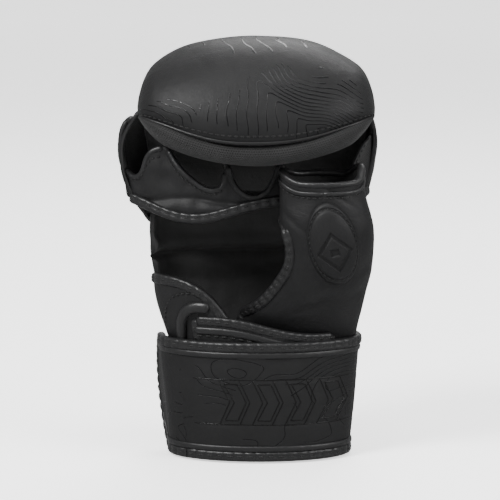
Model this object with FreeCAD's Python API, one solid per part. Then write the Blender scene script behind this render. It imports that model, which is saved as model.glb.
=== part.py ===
"""Right-hand hybrid mixed-martial-arts sparring glove, standing on its cuff.

Frame: millimetres, +Z up along the forearm towards the knuckles, the palm faces -Y, the back of the
hand faces +Y, and the thumb is on the +X side. The origin is the centre of the base, on the cuff's rim.

Layers are built as shells between concentric elliptic tubes, so neighbours meet without sharing volume.
Each function makes one or more named sub-parts and stores them in PARTS.
"""
import FreeCAD
import Part

import math
import os

V = FreeCAD.Vector
PARTS = {}

# ---------------------------------------------------------------- driving dimensions
GLOVE_TOP = 251.0        # height of the knuckle pad's crown
CUFF_TOP = 72.0          # where the cuff's layers end and the palm and back panels begin
FLEX_Z = 127.0           # height of the flex line across the back of the hand
FLEX_Y = 22.0
HAND_TOP = 123.5         # top of the hand's rigid back panel, below the flex gap
KNUCKLE_BOTTOM = 130.0   # bottom of the knuckle unit, above the flex gap
PAD_BOTTOM = 150.0       # rear lower edge of the knuckle pad
LEATHER = 1.6
PANEL = 2.4              # leather with its bonded lining, where no foam is behind it
CUFF_FOAM = 4.4
BACK_FOAM = 9.2
LINING = 1.2
GAP = 0.2                # half of the gap between neighbours on one plane

# the wrist's wrapped layers, as offsets from the cuff's outer face
PATCH_LAYER = (0.05, 1.2)
TAB_LAYER = (0.4, 3.0)
STRAP_LAYER = (3.4, 7.0)
STRAP_Z = (2.0, 70.0)
STRAP_EDGE = 6.5         # width of the strap's bound edges
STRAP_AXIS_X = 2.0       # centre of the cuff's ellipse
HINGE_FRONT = -12.0      # polar angles round the cuff, in degrees, 0 on the thumb side, -90 at the palm
HINGE_TIP = -161.0
ROOT_END = 62.0
TAB_HINGE = -25.0
TAB_END = -149.0
TAB_Z = (12.0, 80.0)
TAB_EDGE = 7.0

# (height, centre x, centre y, half width, half depth) of the outer face of each tube
HAND = [
    (0.0, 2.0, 0.0, 46.8, 25.8),
    (18.0, 2.0, 0.0, 48.2, 26.4),
    (36.0, 2.0, 0.0, 49.7, 27.0),
    (54.0, 2.0, 0.0, 51.2, 27.8),
    (72.0, 2.0, 0.0, 53.6, 29.2),
    (90.0, 1.5, 0.5, 58.4, 31.4),
    (108.0, 0.7, 1.2, 61.6, 33.2),
    (126.0, 0.0, 2.0, 63.5, 34.5),
]
KNUCKLE = [
    (128.0, 0.0, 2.0, 63.7, 34.7),
    (140.0, -0.5, 2.5, 65.0, 35.5),
    (152.0, -1.0, 3.0, 66.5, 36.5),
]
FINGER_RING = [
    (136.0, -4.0, 2.0, 70.0, 28.0),
    (182.0, -4.0, 2.0, 70.0, 28.0),
]
THUMB = [
    (88.0, 28.0, -10.0, 34.5, 21.5),
    (100.0, 33.0, -15.0, 32.0, 24.5),
    (112.0, 38.0, -22.0, 29.5, 25.0),
    (125.0, 41.0, -30.0, 27.5, 23.5),
    (145.0, 40.5, -39.0, 27.0, 18.0),
    (160.0, 38.5, -41.0, 25.0, 16.0),
    (174.0, 38.0, -41.5, 24.5, 15.5),
]
THUMB_HINGE = (68.5, -1.5)
THUMB_BASE = 88.0
THUMB_SPLIT = 122.0      # below this the sleeve opens into the hand

# edges seen from the palm, as (x, z)
HEEL_EDGE = [(-70, 118), (-62, 117.5), (-49, 114), (-34, 107), (-22, 96), (-13, 82), (-10, 70)]
THUMB_EDGE = [(-13, 82), (-1, 93), (10, 107), (16.5, 122), (15.5, 138)]
BAND_EDGE = [(-80, 152), (-60, 146), (-46, 142), (-33, 141.2), (-10, 147), (14, 153), (40, 156), (72, 157)]
BINDING = 5.5

# finger openings: (name, low x, high x, height of the valley)
FINGERS = [
    ("pinky", -74.5, -52.0, 162.0),
    ("ring", -52.0, -18.0, 156.0),
    ("middle", -18.0, 15.0, 155.0),
    ("index", 15.0, 57.0, 158.0),
]
BAND_TOP = 153.0
LOOP_TOP = 177.0

# knuckle pad: its section at the middle, as (y, z), scaled towards the ends
PAD_HALF = 72.0
PAD_TAPER = 0.13         # the pad narrows by this share over 55 mm of height
OUTER_ROUND = (0.37, 2.7)    # size of the end sections as a share of the middle one, and the power between
INNER_ROUND = (0.36, 3.5)
MIDDLE_ROUND = (0.37, 3.0)
PAD_RISE = 20.0          # how far the front lower edge climbs from the middle to the ends
PAD_CENTRE = (-8.0, 178.0)
PAD_OUTER = [(36, 150.3), (44.5, 160), (49, 175), (50.5, 195), (43, 221), (25, 242), (-1, 251), (-27, 247.5),
             (-47, 233), (-58.5, 212), (-60, 197), (-55, 185.5)]
PAD_INNER = [(-47, 176.5), (-38, 174.5), (-30.5, 182), (-27, 193), (-15, 203), (1, 200.5), (11.5, 187),
             (15.5, 168), (17, 150.3)]
PAD_MIDDLE = [(-66, 187.5), (-53, 189), (-45, 197), (-39, 209), (-27, 221), (-4, 226), (16, 219), (29, 203),
              (33, 182), (31, 162), (28, 144)]
PAD_HOLLOW = [(2, 144), (0, 160), (-6, 172), (-20, 160), (-66, 160)]
PAD_SKIN = 1.6


# ---------------------------------------------------------------- helpers
def ellipse_wire(z, cx, cy, a, b):
    """A horizontal ellipse, whichever half axis is longer."""
    curve = Part.Ellipse(V(cx, cy, z), a, b)
    return Part.Wire([curve.toShape()])


def tube(stations, offset=0.0):
    """Solid through the stations' ellipses, each grown by offset."""
    wires = [ellipse_wire(z, cx, cy, a + offset, b + offset) for z, cx, cy, a, b in stations]
    return Part.makeLoft(wires, True, False)


def shell(stations, inner, outer):
    """The layer between two offsets of one tube."""
    return tube(stations, outer).cut(tube(stations, inner))


def block(x0, x1, y0, y1, z0, z1):
    return Part.makeBox(x1 - x0, y1 - y0, z1 - z0, V(x0, y0, z0))


def slab(z0, z1):
    return block(-200, 200, -200, 200, z0, z1)


def wedge(start, end, z0, z1):
    """Prism of the polar angles from start to end, about the cuff's axis."""
    reach = 200.0
    steps = max(2, int(abs(end - start) / 30) + 1)
    points = [V(STRAP_AXIS_X, 0, z0)]
    for i in range(steps + 1):
        angle = math.radians(start + (end - start) * i / steps)
        points.append(V(STRAP_AXIS_X + reach * math.cos(angle), reach * math.sin(angle), z0))
    points.append(points[0])
    return Part.Face(Part.makePolygon(points)).extrude(V(0, 0, z1 - z0))


def curve_xz(points, lift=0.0):
    """Smooth curve through points of the palm view, moved up by lift."""
    spline = Part.BSplineCurve()
    spline.interpolate([V(x, -100, z + lift) for x, z in points])
    return spline.toShape()


def palm_prism(edges):
    """Prism along Y of a closed outline of the palm view."""
    return Part.Face(Part.Wire(edges)).extrude(V(0, 200, 0))


def line_xz(a, b):
    return Part.makeLine(V(a[0], -100, a[1]), V(b[0], -100, b[1]))


def under_curve(points, lift=0.0, floor=60.0):
    """Prism of all that lies below a curve of the palm view."""
    first, last = points[0], points[-1]
    return palm_prism([
        curve_xz(points, lift),
        line_xz((last[0], last[1] + lift), (last[0], floor)),
        line_xz((last[0], floor), (first[0], floor)),
        line_xz((first[0], floor), (first[0], first[1] + lift)),
    ])


def keep(name, shape):
    """Stores a sub-part as its separate solids, slivers left out."""
    solids = [s for s in shape.Solids if s.Volume > 1.0]
    if not solids:
        raise ValueError(name + " has no solid")
    PARTS[name] = solids[0] if len(solids) == 1 else Part.makeCompound(solids)


# ---------------------------------------------------------------- cuff
def make_cuff():
    """Three layers round the wrist, slit at the palm, with a bound rim that the glove stands on."""
    slit = block(-14.5, -10.5, -60, 0, -1, 100)
    body = slab(5.0, CUFF_TOP)
    foam_in = -LEATHER - CUFF_FOAM
    keep("cuff_shell", shell(HAND, -LEATHER, 0).common(body).cut(slit))
    keep("cuff_padding", shell(HAND, foam_in, -LEATHER).common(body).cut(slit))
    keep("cuff_lining", shell(HAND, foam_in - LINING, foam_in).common(body).cut(slit))
    keep("cuff_rim_binding", shell(HAND, foam_in - LINING - 0.5, 0.8).common(slab(0, 5.0)).cut(slit))
    keep("cuff_loop_patch", shell(HAND, *PATCH_LAYER).common(wedge(125, 205, 8, 64)))


# ---------------------------------------------------------------- straps
def bound_band(prefix, layer, start, end, z_range, edge, both_edges):
    """A band round the cuff with bound edges: the panel, then its bindings as one group."""
    z0, z1 = z_range
    sector = wedge(start, end, z0, z1)
    low = z0 + edge if both_edges else z0
    band = shell(HAND, *layer).common(sector)
    keep(prefix + "_panel", band.common(slab(low, z1 - edge)))
    edges = [band.common(slab(z1 - edge, z1))]
    if both_edges:
        edges.append(band.common(slab(z0, low)))
    keep(prefix + "_bindings", Part.makeCompound(edges))


def cuff_radius(angle, z, offset):
    """Distance from the cuff's axis to its outer face grown by offset, at a polar angle."""
    low = max((s for s in HAND if s[0] <= z), key=lambda s: s[0])
    high = min((s for s in HAND if s[0] > z), key=lambda s: s[0])
    share = (z - low[0]) / (high[0] - low[0])
    a = low[3] + share * (high[3] - low[3]) + offset
    b = low[4] + share * (high[4] - low[4]) + offset
    t = math.radians(angle)
    return 1.0 / math.hypot(math.cos(t) / a, math.sin(t) / b)


def make_straps():
    """Outer strap in three lengths, its anchor and hook patch, and the inner closure tab."""
    bound_band("strap_root", STRAP_LAYER, HINGE_FRONT + GAP, ROOT_END, STRAP_Z, STRAP_EDGE, True)
    bound_band("strap_front", STRAP_LAYER, HINGE_TIP + GAP, HINGE_FRONT - GAP, STRAP_Z, STRAP_EDGE, True)
    anchor = shell(HAND, 0.05, STRAP_LAYER[0] - 0.05)
    keep("strap_anchor", anchor.common(wedge(ROOT_END - 38, ROOT_END, 8, 64)))

    # the free end leaves the cuff at its side and stands out from it as a rounded flap
    thick = STRAP_LAYER[1] - STRAP_LAYER[0]
    middle_z = sum(STRAP_Z) / 2
    half = (STRAP_Z[1] - STRAP_Z[0]) / 2
    reach = 22.0
    outer_low = STRAP_AXIS_X - cuff_radius(180, STRAP_Z[0], STRAP_LAYER[1])
    outer_high = STRAP_AXIS_X - cuff_radius(180, STRAP_Z[1] - 3, STRAP_LAYER[1])
    lean = math.degrees(math.atan2(outer_low - outer_high, 2 * half - 3))
    arc = Part.Arc(V(0, 4.0, half), V(0, reach, 0), V(0, 4.0, -half)).toShape()
    outline = Part.Wire([
        arc,
        Part.makeLine(V(0, 4.0, -half), V(0, -1.5, -half)),
        Part.makeLine(V(0, -1.5, -half), V(0, -1.5, half)),
        Part.makeLine(V(0, -1.5, half), V(0, 4.0, half)),
    ])
    flap = Part.Face(outline).extrude(V(thick, 0, 0))
    flap.rotate(V(0, 0, 0), V(0, 0, 1), 11.0)
    flap.rotate(V(0, 0, 0), V(0, 1, 0), -lean)
    flap.translate(V((outer_low + outer_high) / 2, 0, middle_z))
    wrap = shell(HAND, *STRAP_LAYER).common(wedge(-180.0, HINGE_TIP - GAP, *STRAP_Z))
    tip = wrap.fuse(flap).removeSplitter()
    keep("strap_tip_panel", tip)
    hook = shell(HAND, 2.2, STRAP_LAYER[0] - 0.05)
    keep("strap_hook_patch", hook.common(wedge(-178.0, HINGE_TIP - 1.5, 10, 62)).cut(tip))

    bound_band("tab", TAB_LAYER, TAB_END, TAB_HINGE - GAP, TAB_Z, TAB_EDGE, False)
    root = shell(HAND, *TAB_LAYER).common(wedge(TAB_HINGE + GAP, -4, *TAB_Z))
    keep("tab_root", root)


# ---------------------------------------------------------------- hand
def make_hand():
    """Padded back panel, heel panel with its bound edge and slot rim, and the thumb-side palm panel."""
    rear = block(-200, 200, GAP, 200, CUFF_TOP + GAP, HAND_TOP)
    front = block(-200, 200, -200, -GAP, CUFF_TOP + GAP, 122)
    foam_in = -LEATHER - BACK_FOAM
    keep("hand_back_shell", shell(HAND, -LEATHER, 0).common(rear))
    keep("hand_back_padding", shell(HAND, foam_in, -LEATHER).common(rear))
    keep("hand_back_lining", shell(HAND, foam_in - LINING, foam_in).common(rear))

    slot_rim = make_slot_rim()
    left = block(-200, -14.5, -200, 0, 0, 200)
    panel_zone = under_curve(HEEL_EDGE, -BINDING)
    edge_zone = under_curve(HEEL_EDGE).cut(panel_zone)
    keep("heel_panel", shell(HAND, -PANEL, 0).common(front).common(left).common(panel_zone).cut(slot_rim))
    keep("heel_binding", shell(HAND, -PANEL - 0.8, 0.05).common(front).common(left).common(edge_zone).cut(slot_rim))
    keep("slot_rim", slot_rim)

    right = block(-10.5, 200, -200, 0, 0, THUMB_BASE - 0.6)
    inside = thumb_edge_zone(0)
    strip = inside.cut(thumb_edge_zone(BINDING))
    keep("thenar_panel", shell(HAND, -PANEL, 0).common(front).common(right).common(inside).cut(strip))
    keep("thenar_binding", shell(HAND, -PANEL - 0.8, 0.05).common(front).common(right).common(strip))


def make_slot_rim():
    """Padded rolled rim of the slot that the closure tab comes out of: up, then over to the right."""
    foot, knee, end = V(-42.0, -21.3, 72.6), V(-42.0, -22.8, 83.0), V(-28.5, -29.0, 91.0)
    path = Part.Wire([Part.makeLine(foot, knee), Part.Arc(knee, V(-38.3, -25.6, 89.2), end).toShape()])
    profile = Part.Wire([Part.makeCircle(2.7, foot, knee - foot)])
    return path.makePipeShell([profile], True, True)


def thumb_edge_zone(inset):
    """Prism of all that lies on the thumb's side of the palm opening's edge, pulled in by inset."""
    points = [(x + inset * 0.93, z - inset * 0.36) for x, z in THUMB_EDGE]
    low, high = points[0], points[-1]
    return palm_prism([
        curve_xz(points),
        line_xz(high, (high[0], 190)),
        line_xz((high[0], 190), (120, 190)),
        line_xz((120, 190), (120, 60)),
        line_xz((120, 60), (low[0], 60)),
        line_xz((low[0], 60), low),
    ])


# ---------------------------------------------------------------- thumb sleeve
def thumb_trim():
    """What the sleeve keeps: below its slanted mouth, in front of the hand's cavity and of its hinge."""
    mouth = block(-200, 200, -200, 200, 60, 165.5)
    mouth.rotate(V(38, -41, 165.5), V(1, 0, 0), 13.0)
    cavity = block(-200, 52, -13.5, 200, 60, THUMB_SPLIT)
    behind = block(-200, 200, THUMB_HINGE[1] - 0.5, 200, 60, 200)
    return mouth.cut(cavity).cut(behind).common(thumb_edge_zone(0))


def make_thumb():
    """Leather sleeve with its lining, bound mouth, bound palm edge, and the padded oval guard."""
    trim = thumb_trim()
    rim = trim.copy()
    rim.translate(V(0, 1.0, -4.6))
    edge = thumb_edge_zone(0).cut(thumb_edge_zone(BINDING)).common(block(-200, 200, -200, -13.5, 60, 138))
    inner = -LEATHER - LINING
    body = trim.common(rim).cut(edge)
    keep("thumb_shell", shell(THUMB, -LEATHER, 0).common(body))
    keep("thumb_lining", shell(THUMB, inner, -LEATHER).common(body))
    wall = shell(THUMB, inner - 0.5, 0.8)
    keep("thumb_mouth_binding", wall.common(trim.cut(rim)).common(slab(150, 190)).cut(edge))
    keep("palm_edge_binding", wall.common(edge).common(trim))

    def oval(half_width, half_height):
        shape = Part.Face(Part.Wire([Part.Ellipse(V(0, 0, 0), half_height, half_width).toShape()]))
        shape = shape.extrude(V(0, 0, 40))
        shape.rotate(V(0, 0, 0), V(0, 1, 0), -90)
        shape.rotate(V(0, 0, 0), V(0, 0, 1), 90)
        shape.rotate(V(0, 0, 0), V(0, 1, 0), -12.0)
        shape.translate(V(47.5, -30, 130))
        return shape

    foam = oval(11.7, 23.0).common(shell(THUMB, 0.1, 3.0))
    keep("thumb_guard_foam", foam)
    keep("thumb_guard_cover", oval(13.5, 25.0).common(shell(THUMB, 0.1, 4.2)).cut(foam))


# ---------------------------------------------------------------- finger unit
def make_fingers():
    """Palm band with its bound edge, four scalloped finger loops, dividers and side walls."""
    front = block(-200, 200, -200, 1.5, 130, LOOP_TOP)
    wall = shell(FINGER_RING, -2.0, 0).common(front)
    below = under_curve(BAND_EDGE, 0, 120)
    above_strip = under_curve(BAND_EDGE, BINDING, 120)
    keep("palm_band", wall.cut(above_strip).common(slab(100, BAND_TOP)))
    thick = shell(FINGER_RING, -2.8, 0.8).common(front)
    keep("palm_band_binding", thick.common(above_strip.cut(below)))

    upper = wall.cut(above_strip).common(slab(BAND_TOP, 200))
    for name, x0, x1, valley in FINGERS:
        centre, half = (x0 + x1) / 2, (x1 - x0) / 2 - 2.5
        hole = Part.makeCylinder(half, 120, V(centre, -80, valley + half), V(0, 1, 0))
        hole = hole.fuse(block(centre - half, centre + half, -80, 40, valley + half, 230))
        zone = block(x0, x1, -80, 20, 100, 230)
        keep("finger_loop_" + name, upper.common(zone).cut(hole))

    gusset = shell(FINGER_RING, -1.4, -0.2).common(block(57.3, 70, -80, 1.5, 164, 181))
    keep("index_gusset_mesh", gusset)

    for number, x in enumerate((-52.0, -18.0, 15.0), 1):
        plate = block(x - 1, x + 1, -60, 8.5, 162, 175).common(tube(FINGER_RING, -2.05))
        keep("finger_divider_%d" % number, plate)

    for name, side, foot, bulge, head in (
        ("pinky_side_wall", -1, (74.0, 150), (80.0, 181), (74.4, 205)),
        ("index_side_wall", 1, (67.5, 158), (74.0, 186), (74.2, 206)),
    ):
        outer = Part.Arc(V(side * foot[0], 2, foot[1]), V(side * bulge[0], 2, bulge[1]),
                         V(side * head[0], 2, head[1])).toShape()
        inner = outer.copy()
        inner.translate(V(-side * 2.0, 0, 0))
        ends = [Part.makeLine(outer.Vertexes[i].Point, inner.Vertexes[i].Point) for i in (0, 1)]
        outline = Part.Wire(Part.__sortEdges__([outer, inner, *ends]))
        keep(name, Part.Face(outline).extrude(V(0, 18, 0)))


# ---------------------------------------------------------------- knuckle unit
def make_knuckle_back():
    """Padded back panel between the flex line and the knuckle pad."""
    zone = block(-200, 200, 4.0, 200, KNUCKLE_BOTTOM, PAD_BOTTOM)
    foam_in = -LEATHER - BACK_FOAM
    keep("knuckle_back_shell", shell(KNUCKLE, -LEATHER, 0).common(zone))
    keep("knuckle_back_padding", shell(KNUCKLE, foam_in, -LEATHER).common(zone))
    keep("knuckle_back_lining", shell(KNUCKLE, foam_in - LINING, foam_in).common(zone))


def bulge(x, half, least, power):
    """Share of full size at x: 1 at the middle, least at the end, rounded like a superellipse."""
    return least + (1 - least) * (1 - abs(x / half) ** power) ** (1 / power)


def limited(value):
    return max(0.0, min(1.0, value))


def pad_section(x, rims, half):
    """Closed outline of the pad at x, scaled towards its centre line: two curves joined by two edges."""
    cy, cz = PAD_CENTRE
    share_x = min(abs(x / half), 0.99)
    curves = []
    for rim, least, power in rims:
        share = least + (1 - least) * (1 - share_x ** power) ** (1 / power)
        points = []
        for y, z in rim:
            new_z = cz + (z - cz) * share if z > cz - 10 else z
            new_z += PAD_RISE * share_x ** 2.2 * limited((15 - y) / 50) * limited((240 - z) / 50)
            taper = 1 - PAD_TAPER * (205 - new_z) / 55
            points.append(V(x * taper, cy + (y - cy) * share, new_z))
        spline = Part.BSplineCurve()
        spline.interpolate(points)
        curves.append(spline.toShape())
    ends = [(curves[0], 1, curves[1], 0), (curves[1], 1, curves[0], 0)]
    joins = [Part.makeLine(a.Vertexes[i].Point, b.Vertexes[j].Point) for a, i, b, j in ends]
    return Part.Wire([curves[0], joins[0], curves[1], joins[1]])


def pad_solid(rims, half, past_ends=False):
    """Loft of the pad's outlines from end to end; past_ends carries the last outline straight on."""
    shares = [-0.99, -0.93, -0.82, -0.62, -0.32, 0, 0.32, 0.62, 0.82, 0.93, 0.99]
    if past_ends:
        shares = [-1.06] + shares + [1.06]
    return Part.makeLoft([pad_section(half * s, rims, half) for s in shares], True, False)


def moved_in(points, depth):
    """An open rim of points moved by depth to the side that its foam is on."""
    moved = []
    for i, (y, z) in enumerate(points):
        before, after = points[max(i - 1, 0)], points[min(i + 1, len(points) - 1)]
        dy, dz = after[0] - before[0], after[1] - before[1]
        length = math.hypot(dy, dz)
        moved.append((y - dz / length * depth, z + dy / length * depth))
    return moved


def make_pad():
    """Thick curved knuckle pad: leather outside, knit lining inside, and two layers of foam between."""
    whole = pad_solid([(PAD_OUTER, *OUTER_ROUND), (PAD_INNER, *INNER_ROUND)], PAD_HALF)
    outer, inner = moved_in(PAD_OUTER, PAD_SKIN), moved_in(PAD_INNER, PAD_SKIN)
    outer[0] = (outer[0][0], PAD_BOTTOM + 2)
    inner[-1] = (inner[-1][0], PAD_BOTTOM + 2)
    foam = pad_solid([(outer, *OUTER_ROUND), (inner, *INNER_ROUND)], PAD_HALF - PAD_SKIN)
    inside = pad_solid([(PAD_MIDDLE, *MIDDLE_ROUND), (PAD_HOLLOW, *INNER_ROUND)], PAD_HALF, True)
    skin = whole.cut(foam)
    keep("pad_shell", skin.cut(inside))
    keep("pad_lining", skin.common(inside))
    keep("pad_outer_foam", foam.cut(inside))
    keep("pad_inner_foam", foam.common(inside))


make_cuff()
make_straps()
make_hand()
make_thumb()
make_fingers()
make_knuckle_back()
make_pad()
os.makedirs("parts", exist_ok=True)
for node, shape in PARTS.items():
    # the sections above are drawn about the palm's middle; the part's own zero is the cuff's axis
    shape.translate(V(-STRAP_AXIS_X, 0, 0))
    shape.exportStep("parts/%s.step" % node)
    print(node, "valid" if shape.isValid() else "NOT VALID", len(shape.Solids), "solid", round(shape.Volume), "mm3")
for joint, angle, z, layer in (
    ("strap_peel", HINGE_FRONT, STRAP_Z[1], STRAP_LAYER),
    ("strap_tip_peel", HINGE_TIP, STRAP_Z[1], STRAP_LAYER),
    ("tab_peel", TAB_HINGE, TAB_Z[1], TAB_LAYER),
):
    radius = cuff_radius(angle, z, layer[1])
    turn = math.radians(angle)
    print(joint, "axis at", round(radius * math.cos(turn), 2), round(radius * math.sin(turn), 2))
print("thumb_spread axis at", THUMB_HINGE[0] - STRAP_AXIS_X, THUMB_HINGE[1])
print("knuckle_flex axis at y, z", FLEX_Y, FLEX_Z)
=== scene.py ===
import bmesh
import bpy
import math
import numpy as np
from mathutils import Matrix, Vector, kdtree, noise


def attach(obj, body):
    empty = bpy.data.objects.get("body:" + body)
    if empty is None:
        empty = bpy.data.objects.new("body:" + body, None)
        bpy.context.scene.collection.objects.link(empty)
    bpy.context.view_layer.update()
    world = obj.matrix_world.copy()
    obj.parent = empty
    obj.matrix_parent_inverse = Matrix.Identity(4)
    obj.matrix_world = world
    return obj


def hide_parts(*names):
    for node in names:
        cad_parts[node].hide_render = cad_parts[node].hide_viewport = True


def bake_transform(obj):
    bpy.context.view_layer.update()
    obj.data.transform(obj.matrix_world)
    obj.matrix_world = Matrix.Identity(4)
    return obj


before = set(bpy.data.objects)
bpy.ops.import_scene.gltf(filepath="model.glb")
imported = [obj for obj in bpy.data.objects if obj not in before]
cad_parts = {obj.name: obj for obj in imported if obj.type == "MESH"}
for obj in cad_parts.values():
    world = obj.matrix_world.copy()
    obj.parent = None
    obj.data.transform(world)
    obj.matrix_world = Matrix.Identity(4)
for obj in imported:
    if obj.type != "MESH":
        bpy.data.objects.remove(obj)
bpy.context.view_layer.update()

# A right-hand sparring glove in black leather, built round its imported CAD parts.
# All shapes below are worked out in millimetres in the CAD's frame, and scaled to metres as meshes are made.
MM = 0.001


# ------------------------------------------------------------------ driving shapes
# The CAD's tubes, with the hand and the knuckle part as one, and the thumb carried down to its root:
# (height, centre x, centre y, half width, half depth) of the outer face.
HAND = [(0, 0, 0, 46.8, 25.8), (18, 0, 0, 48.2, 26.4), (36, 0, 0, 49.7, 27), (54, 0, 0, 51.2, 27.8),
        (72, 0, 0, 53.6, 29.2), (90, -0.5, 0.5, 58.4, 31.4), (108, -1.3, 1.2, 61.6, 33.2),
        (126, -2, 2, 63.5, 34.5), (140, -2.3, 2.5, 63, 35.5), (150, -2.6, 3, 62, 35.8),
        (158, -3, 2.5, 59, 33)]
THUMB = [(60, 14, -3, 42, 19), (76, 22, -5, 36, 18), (88, 26, -10, 34.5, 21.5), (100, 31, -15, 32, 24.5),
         (112, 36, -22, 29.5, 25), (125, 39, -30, 27.5, 23.5), (145, 38.5, -39, 27, 18),
         (160, 36.5, -41, 25, 16), (180, 36, -41.5, 24.5, 15.5)]
# Edges as the photo shows them from the camera, as (x, z). They lie near the CAD's edges, not on them.
HEEL_EDGE = [(-72, 104.5), (-64, 105.5), (-54, 106), (-42, 103.5), (-32.5, 98), (-25, 90),
             (-19.5, 82), (-13, 70)]
THUMB_EDGE = [(-20, 66), (-13.5, 82), (-1, 93), (10.5, 107), (17, 122), (16.5, 133), (11.5, 146)]
BAND_EDGE = [(-82, 156), (-74, 153.5), (-62, 149), (-48, 144.5), (-34, 143.8), (-12, 149.5), (12, 154.5),
             (38, 157), (70, 158)]
PAD_CENTRE = (-8.0, 178.0)
PAD_HALF = 68.6         # half width of the visual pad
FLEX_Z = 127.0          # height of the flex line across the back
PLAIN_SHINE = 0.16       # specular level of every material that names none


def natural_spline(points, n):
    """n points spaced evenly by chord along a natural cubic curve through points."""
    p = np.array(points, float)
    s = np.concatenate([[0], np.cumsum(np.linalg.norm(np.diff(p, axis=0), axis=1))])
    h = np.diff(s)
    m = len(p)
    a = np.zeros((m, m))
    r = np.zeros((m, p.shape[1]))
    a[0, 0] = a[-1, -1] = 1
    for i in range(1, m - 1):
        a[i, i - 1], a[i, i], a[i, i + 1] = h[i - 1], 2 * (h[i - 1] + h[i]), h[i]
        r[i] = 6 * ((p[i + 1] - p[i]) / h[i] - (p[i] - p[i - 1]) / h[i - 1])
    k = np.linalg.solve(a, r)
    t = np.linspace(0, s[-1], n)
    i = np.clip(np.searchsorted(s, t, side="right") - 1, 0, m - 2)
    u, w = (s[i + 1] - t)[:, None], (t - s[i])[:, None]
    hh = h[i][:, None]
    return (k[i] * u ** 3 + k[i + 1] * w ** 3) / (6 * hh) + (p[i] / hh - k[i] * hh / 6) * u + (
        p[i + 1] / hh - k[i + 1] * hh / 6) * w


def table_of(stations):
    """Dense smooth table of a tube's stations, for interpolation by height."""
    return natural_spline(stations, 400)


HAND_T, THUMB_T = table_of(HAND), table_of(THUMB)
HEEL_T, BAND_T, EDGE_T = (natural_spline(edge, 200) for edge in (HEEL_EDGE, BAND_EDGE, THUMB_EDGE))


def tube_point(tab, angle, z, off):
    """Point of a tube at an ellipse angle in degrees and a height, moved out by off."""
    z = np.asarray(z, float)
    cx, cy, a, b = (np.interp(z, tab[:, 0], tab[:, i]) for i in (1, 2, 3, 4))
    t = np.radians(angle)
    x, y, z, _ = np.broadcast_arrays(cx + (a + off) * np.cos(t), cy + (b + off) * np.sin(t), z, off)
    return np.stack([x, y, z], -1)


def hand(angle, z, off=0.0):
    return tube_point(HAND_T, angle, z, off)


def thumb(angle, z, off=0.0):
    return tube_point(THUMB_T, angle, z, off)


def ellipse_angle(polar, a=53.0, b=28.5):
    """Ellipse angle of a polar angle, both in degrees, kept on the same turn."""
    t = np.radians(polar)
    e = np.degrees(np.arctan2(a * np.sin(t), b * np.cos(t)))
    return e + 360 * np.round((polar - e) / 360)


def hand_at(z, angle, off=0.0):
    return hand(angle, z, off)


def smooth(x, lo=0.0, hi=1.0):
    t = np.clip((np.asarray(x, float) - lo) / (hi - lo), 0, 1)
    return t * t * (3 - 2 * t)


def fuzz(p, scale, seed=0.0):
    """Smooth noise at points in millimetres, about -1 to 1."""
    flat = np.asarray(p, float).reshape(-1, 3) / scale + seed
    out = np.array([noise.noise(Vector(q)) for q in flat])
    return out.reshape(np.asarray(p).shape[:-1]) * 1.6


def rumpled(p, scale, seed, along, share=1.0):
    """A grid of points pushed about by smooth noise, by about the vector along and a share of it."""
    return p + fuzz(p, scale, seed)[..., None] * np.array(along) * share


def unit(v):
    return v / np.linalg.norm(v, axis=-1)[..., None]


def gauss(x, at, width):
    return np.exp(-((np.asarray(x, float) - at) / width) ** 2)


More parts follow.
